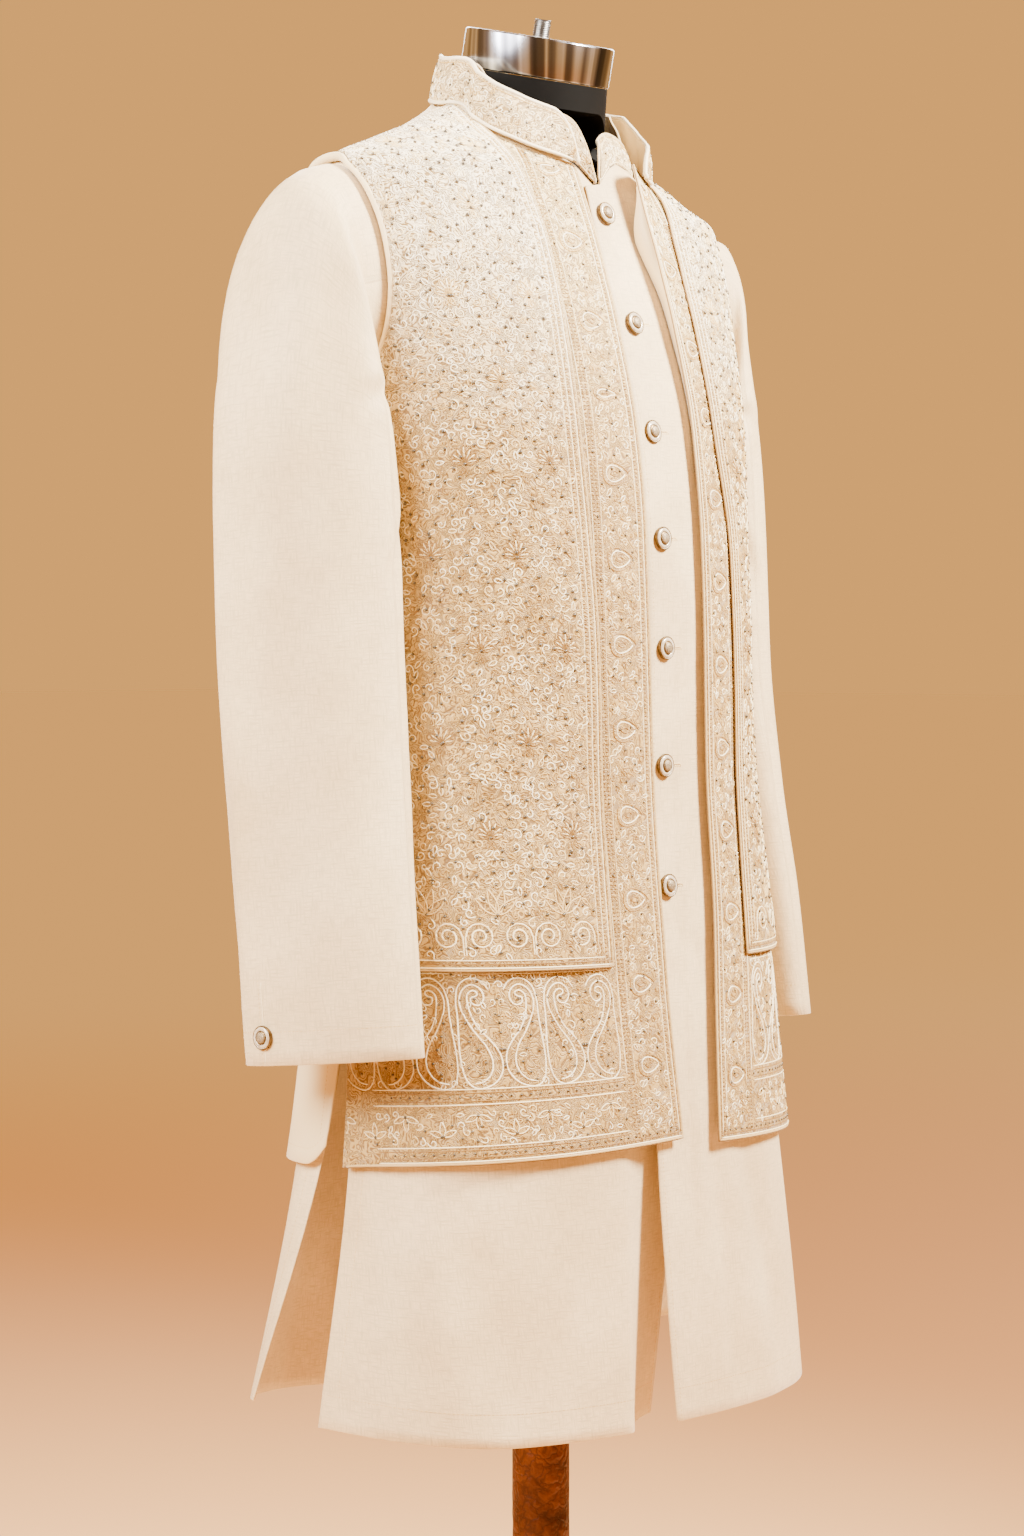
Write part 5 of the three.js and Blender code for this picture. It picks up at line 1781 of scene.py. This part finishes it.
# The form's neck cap and stud share a tilted axis; the pole and base are upright.
stand = {
    "tilt": 12, "capAt": (0, 7, 1497), "capRadius": 57.5, "capHeight": 30, "capRim": 1.6,
    "capFrom": 0.3, "capSteps": [(2.4, 0), (0.5, -0.7), (30, 0), (14, 0.1)],
    "studRadius": 6.4, "studFrom": 30.6, "studTo": 31.4, "threads": 9, "threadDepth": 0.92,
    "poleRadius": 22.2, "poleLow": 14.3, "poleHigh": 744.7, "poleCuts": 160, "crinkle": 0.7,
    "baseRadius": 175, "baseHeight": 14, "baseRim": 6, "baseSteps": [(8, -0.6), (4, 0), (115, 0.5)],
}


def tilt(piece):
    turn = Matrix.Rotation(math.radians(stand["tilt"]), 4, "X")
    piece.data.transform(Matrix.Translation(Vector(stand["capAt"]) * mm) @ turn)


neckCap = cylinderPiece("neckCap", 128, stand["capRadius"], stand["capFrom"],
                        stand["capFrom"] + stand["capHeight"])
roundRims(neckCap, stand["capRim"], 3, lambda edge: True)
stepTop(neckCap, stand["capSteps"])
smoothFaces(neckCap)
tilt(neckCap)
fit(neckCap, steelMaterial, "polished_steel", "form_neck_cap")

capStud = cylinderPiece("capStud", 32, stand["studRadius"], stand["studFrom"], stand["studTo"])
pickTop(capStud)
for k in range(stand["threads"]):
    for rise, size in ((0.45, stand["threadDepth"]), (0.25, 1), (0.45, 1 / stand["threadDepth"]),
                       (0.25, 1)):
        bpy.ops.mesh.extrude_region_move(TRANSFORM_OT_translate={"value": (0, 0, rise * mm)})
        bpy.ops.transform.resize(value=(size, size, 1), center_override=(0, 0, 0))
bpy.ops.mesh.inset(thickness=0.9 * mm, depth=0)
bpy.ops.transform.translate(value=(0, 0, 0.5 * mm))
bpy.ops.object.mode_set(mode="OBJECT")
smoothFaces(capStud, 50)
tilt(capStud)
fit(capStud, studMaterial, "dark_steel", "form_cap_stud")

pole = cylinderPiece("pole", 64, stand["poleRadius"], stand["poleLow"], stand["poleHigh"])
selectEdges(pole, lambda edge: abs(edge.verts[0].co.z - edge.verts[1].co.z) > 0.1)
bpy.ops.mesh.subdivide(number_cuts=stand["poleCuts"])
bpy.ops.object.mode_set(mode="OBJECT")
for vertex in pole.data.vertices:
    spot = vertex.co / mm
    if abs(spot.z - stand["poleLow"]) > 1 and abs(spot.z - stand["poleHigh"]) > 1:
        wrap = noise.noise(Vector((spot.x / 9, spot.y / 9, spot.z / 22)))
        fold = abs(noise.noise(Vector((spot.x / 13 + 5, spot.y / 13, spot.z / 9 + spot.x / 14))))
        grow = 1 + (wrap * 0.5 - fold) * stand["crinkle"] / stand["poleRadius"]
        vertex.co.x *= grow
        vertex.co.y *= grow
smoothFaces(pole, 60)
fit(pole, poleMaterial, "wrapped_pole", "stand_pole")

base = cylinderPiece("base", 160, stand["baseRadius"], 0, stand["baseHeight"])
roundRims(base, stand["baseRim"], 5, lambda edge: edge.verts[0].co.z > 0.01)
stepTop(base, stand["baseSteps"])
smoothFaces(base)
fit(base, enamelMaterial, "base_enamel", "stand_base")
print("cap, stud, pole and base done")

# The dress form, a smooth body just inside the kurta. Each ring is a function of the angle.
form = {"bottom": 745, "ease": 8, "ridgeEase": 0.6, "columns": 112, "hip": (150, 92, 100),
        "waist": 830, "neckRadius": 56, "footRadius": 57, "footAt": 1477, "neckTop": 1497,
        "middleAtTop": 7}


def formPoint(angle, z):
    onRidge = math.sin(math.radians(angle)) ** 8 * ease((z - 1412) / 20)
    return clothPoint(angle, z, -cloth["kurta"] - mix(form["ease"], form["ridgeEase"], onRidge))


def neckPoint(angle, radius, z):
    lean = math.tan(math.radians(stand["tilt"]))
    across, ahead = directions(angle)
    y = -radius * ahead
    drop = shoulderDrop(angle, z) if z == form["footAt"] else 0
    return Vector((radius * across, form["middleAtTop"] + (form["neckTop"] - z) * lean + y,
                   z + y * lean - drop))


def hipPoint(angle, share):
    width, front, back = form["hip"]
    across, ahead = directions(angle)
    low = Vector((width * across, -(front if ahead > 0 else back) * ahead, form["bottom"]))
    high = formPoint(angle, form["waist"])
    bend = math.sin(share * math.pi / 2) ** 0.8
    return Vector((mix(low.x, high.x, bend), mix(low.y, high.y, bend),
                   mix(form["bottom"], form["waist"], share)))


angles = [360 * k / form["columns"] for k in range(form["columns"])]
rings = [[hipPoint(a, k / 8) for a in angles] for k in range(8)]
rings += [[formPoint(a, z) for a in angles] for z in range(form["waist"], 1400, 12)]
rings += [[formPoint(a, z) for a in angles] for z in range(1400, 1469, 4)]
foot = [neckPoint(a, form["footRadius"], form["footAt"]) for a in angles]
top = [neckPoint(a, form["neckRadius"], form["neckTop"]) for a in angles]
shoulders = rings[-1]
rings += [[p.lerp(q, t) for p, q in zip(shoulders, foot)] for t in (0.35, 0.7, 0.9)]
rings += [[p.lerp(q, t) for p, q in zip(foot, top)] for t in (0.04, 0.35, 0.7, 0.96, 1)]
points = [p * mm for ring in rings for p in ring]
torso = meshObject("formTorso", points, closedRings(len(rings), form["columns"]))
smoothFaces(torso, 50)
fit(torso, formMaterial, "black_form", "form_torso")
print("dress form done")
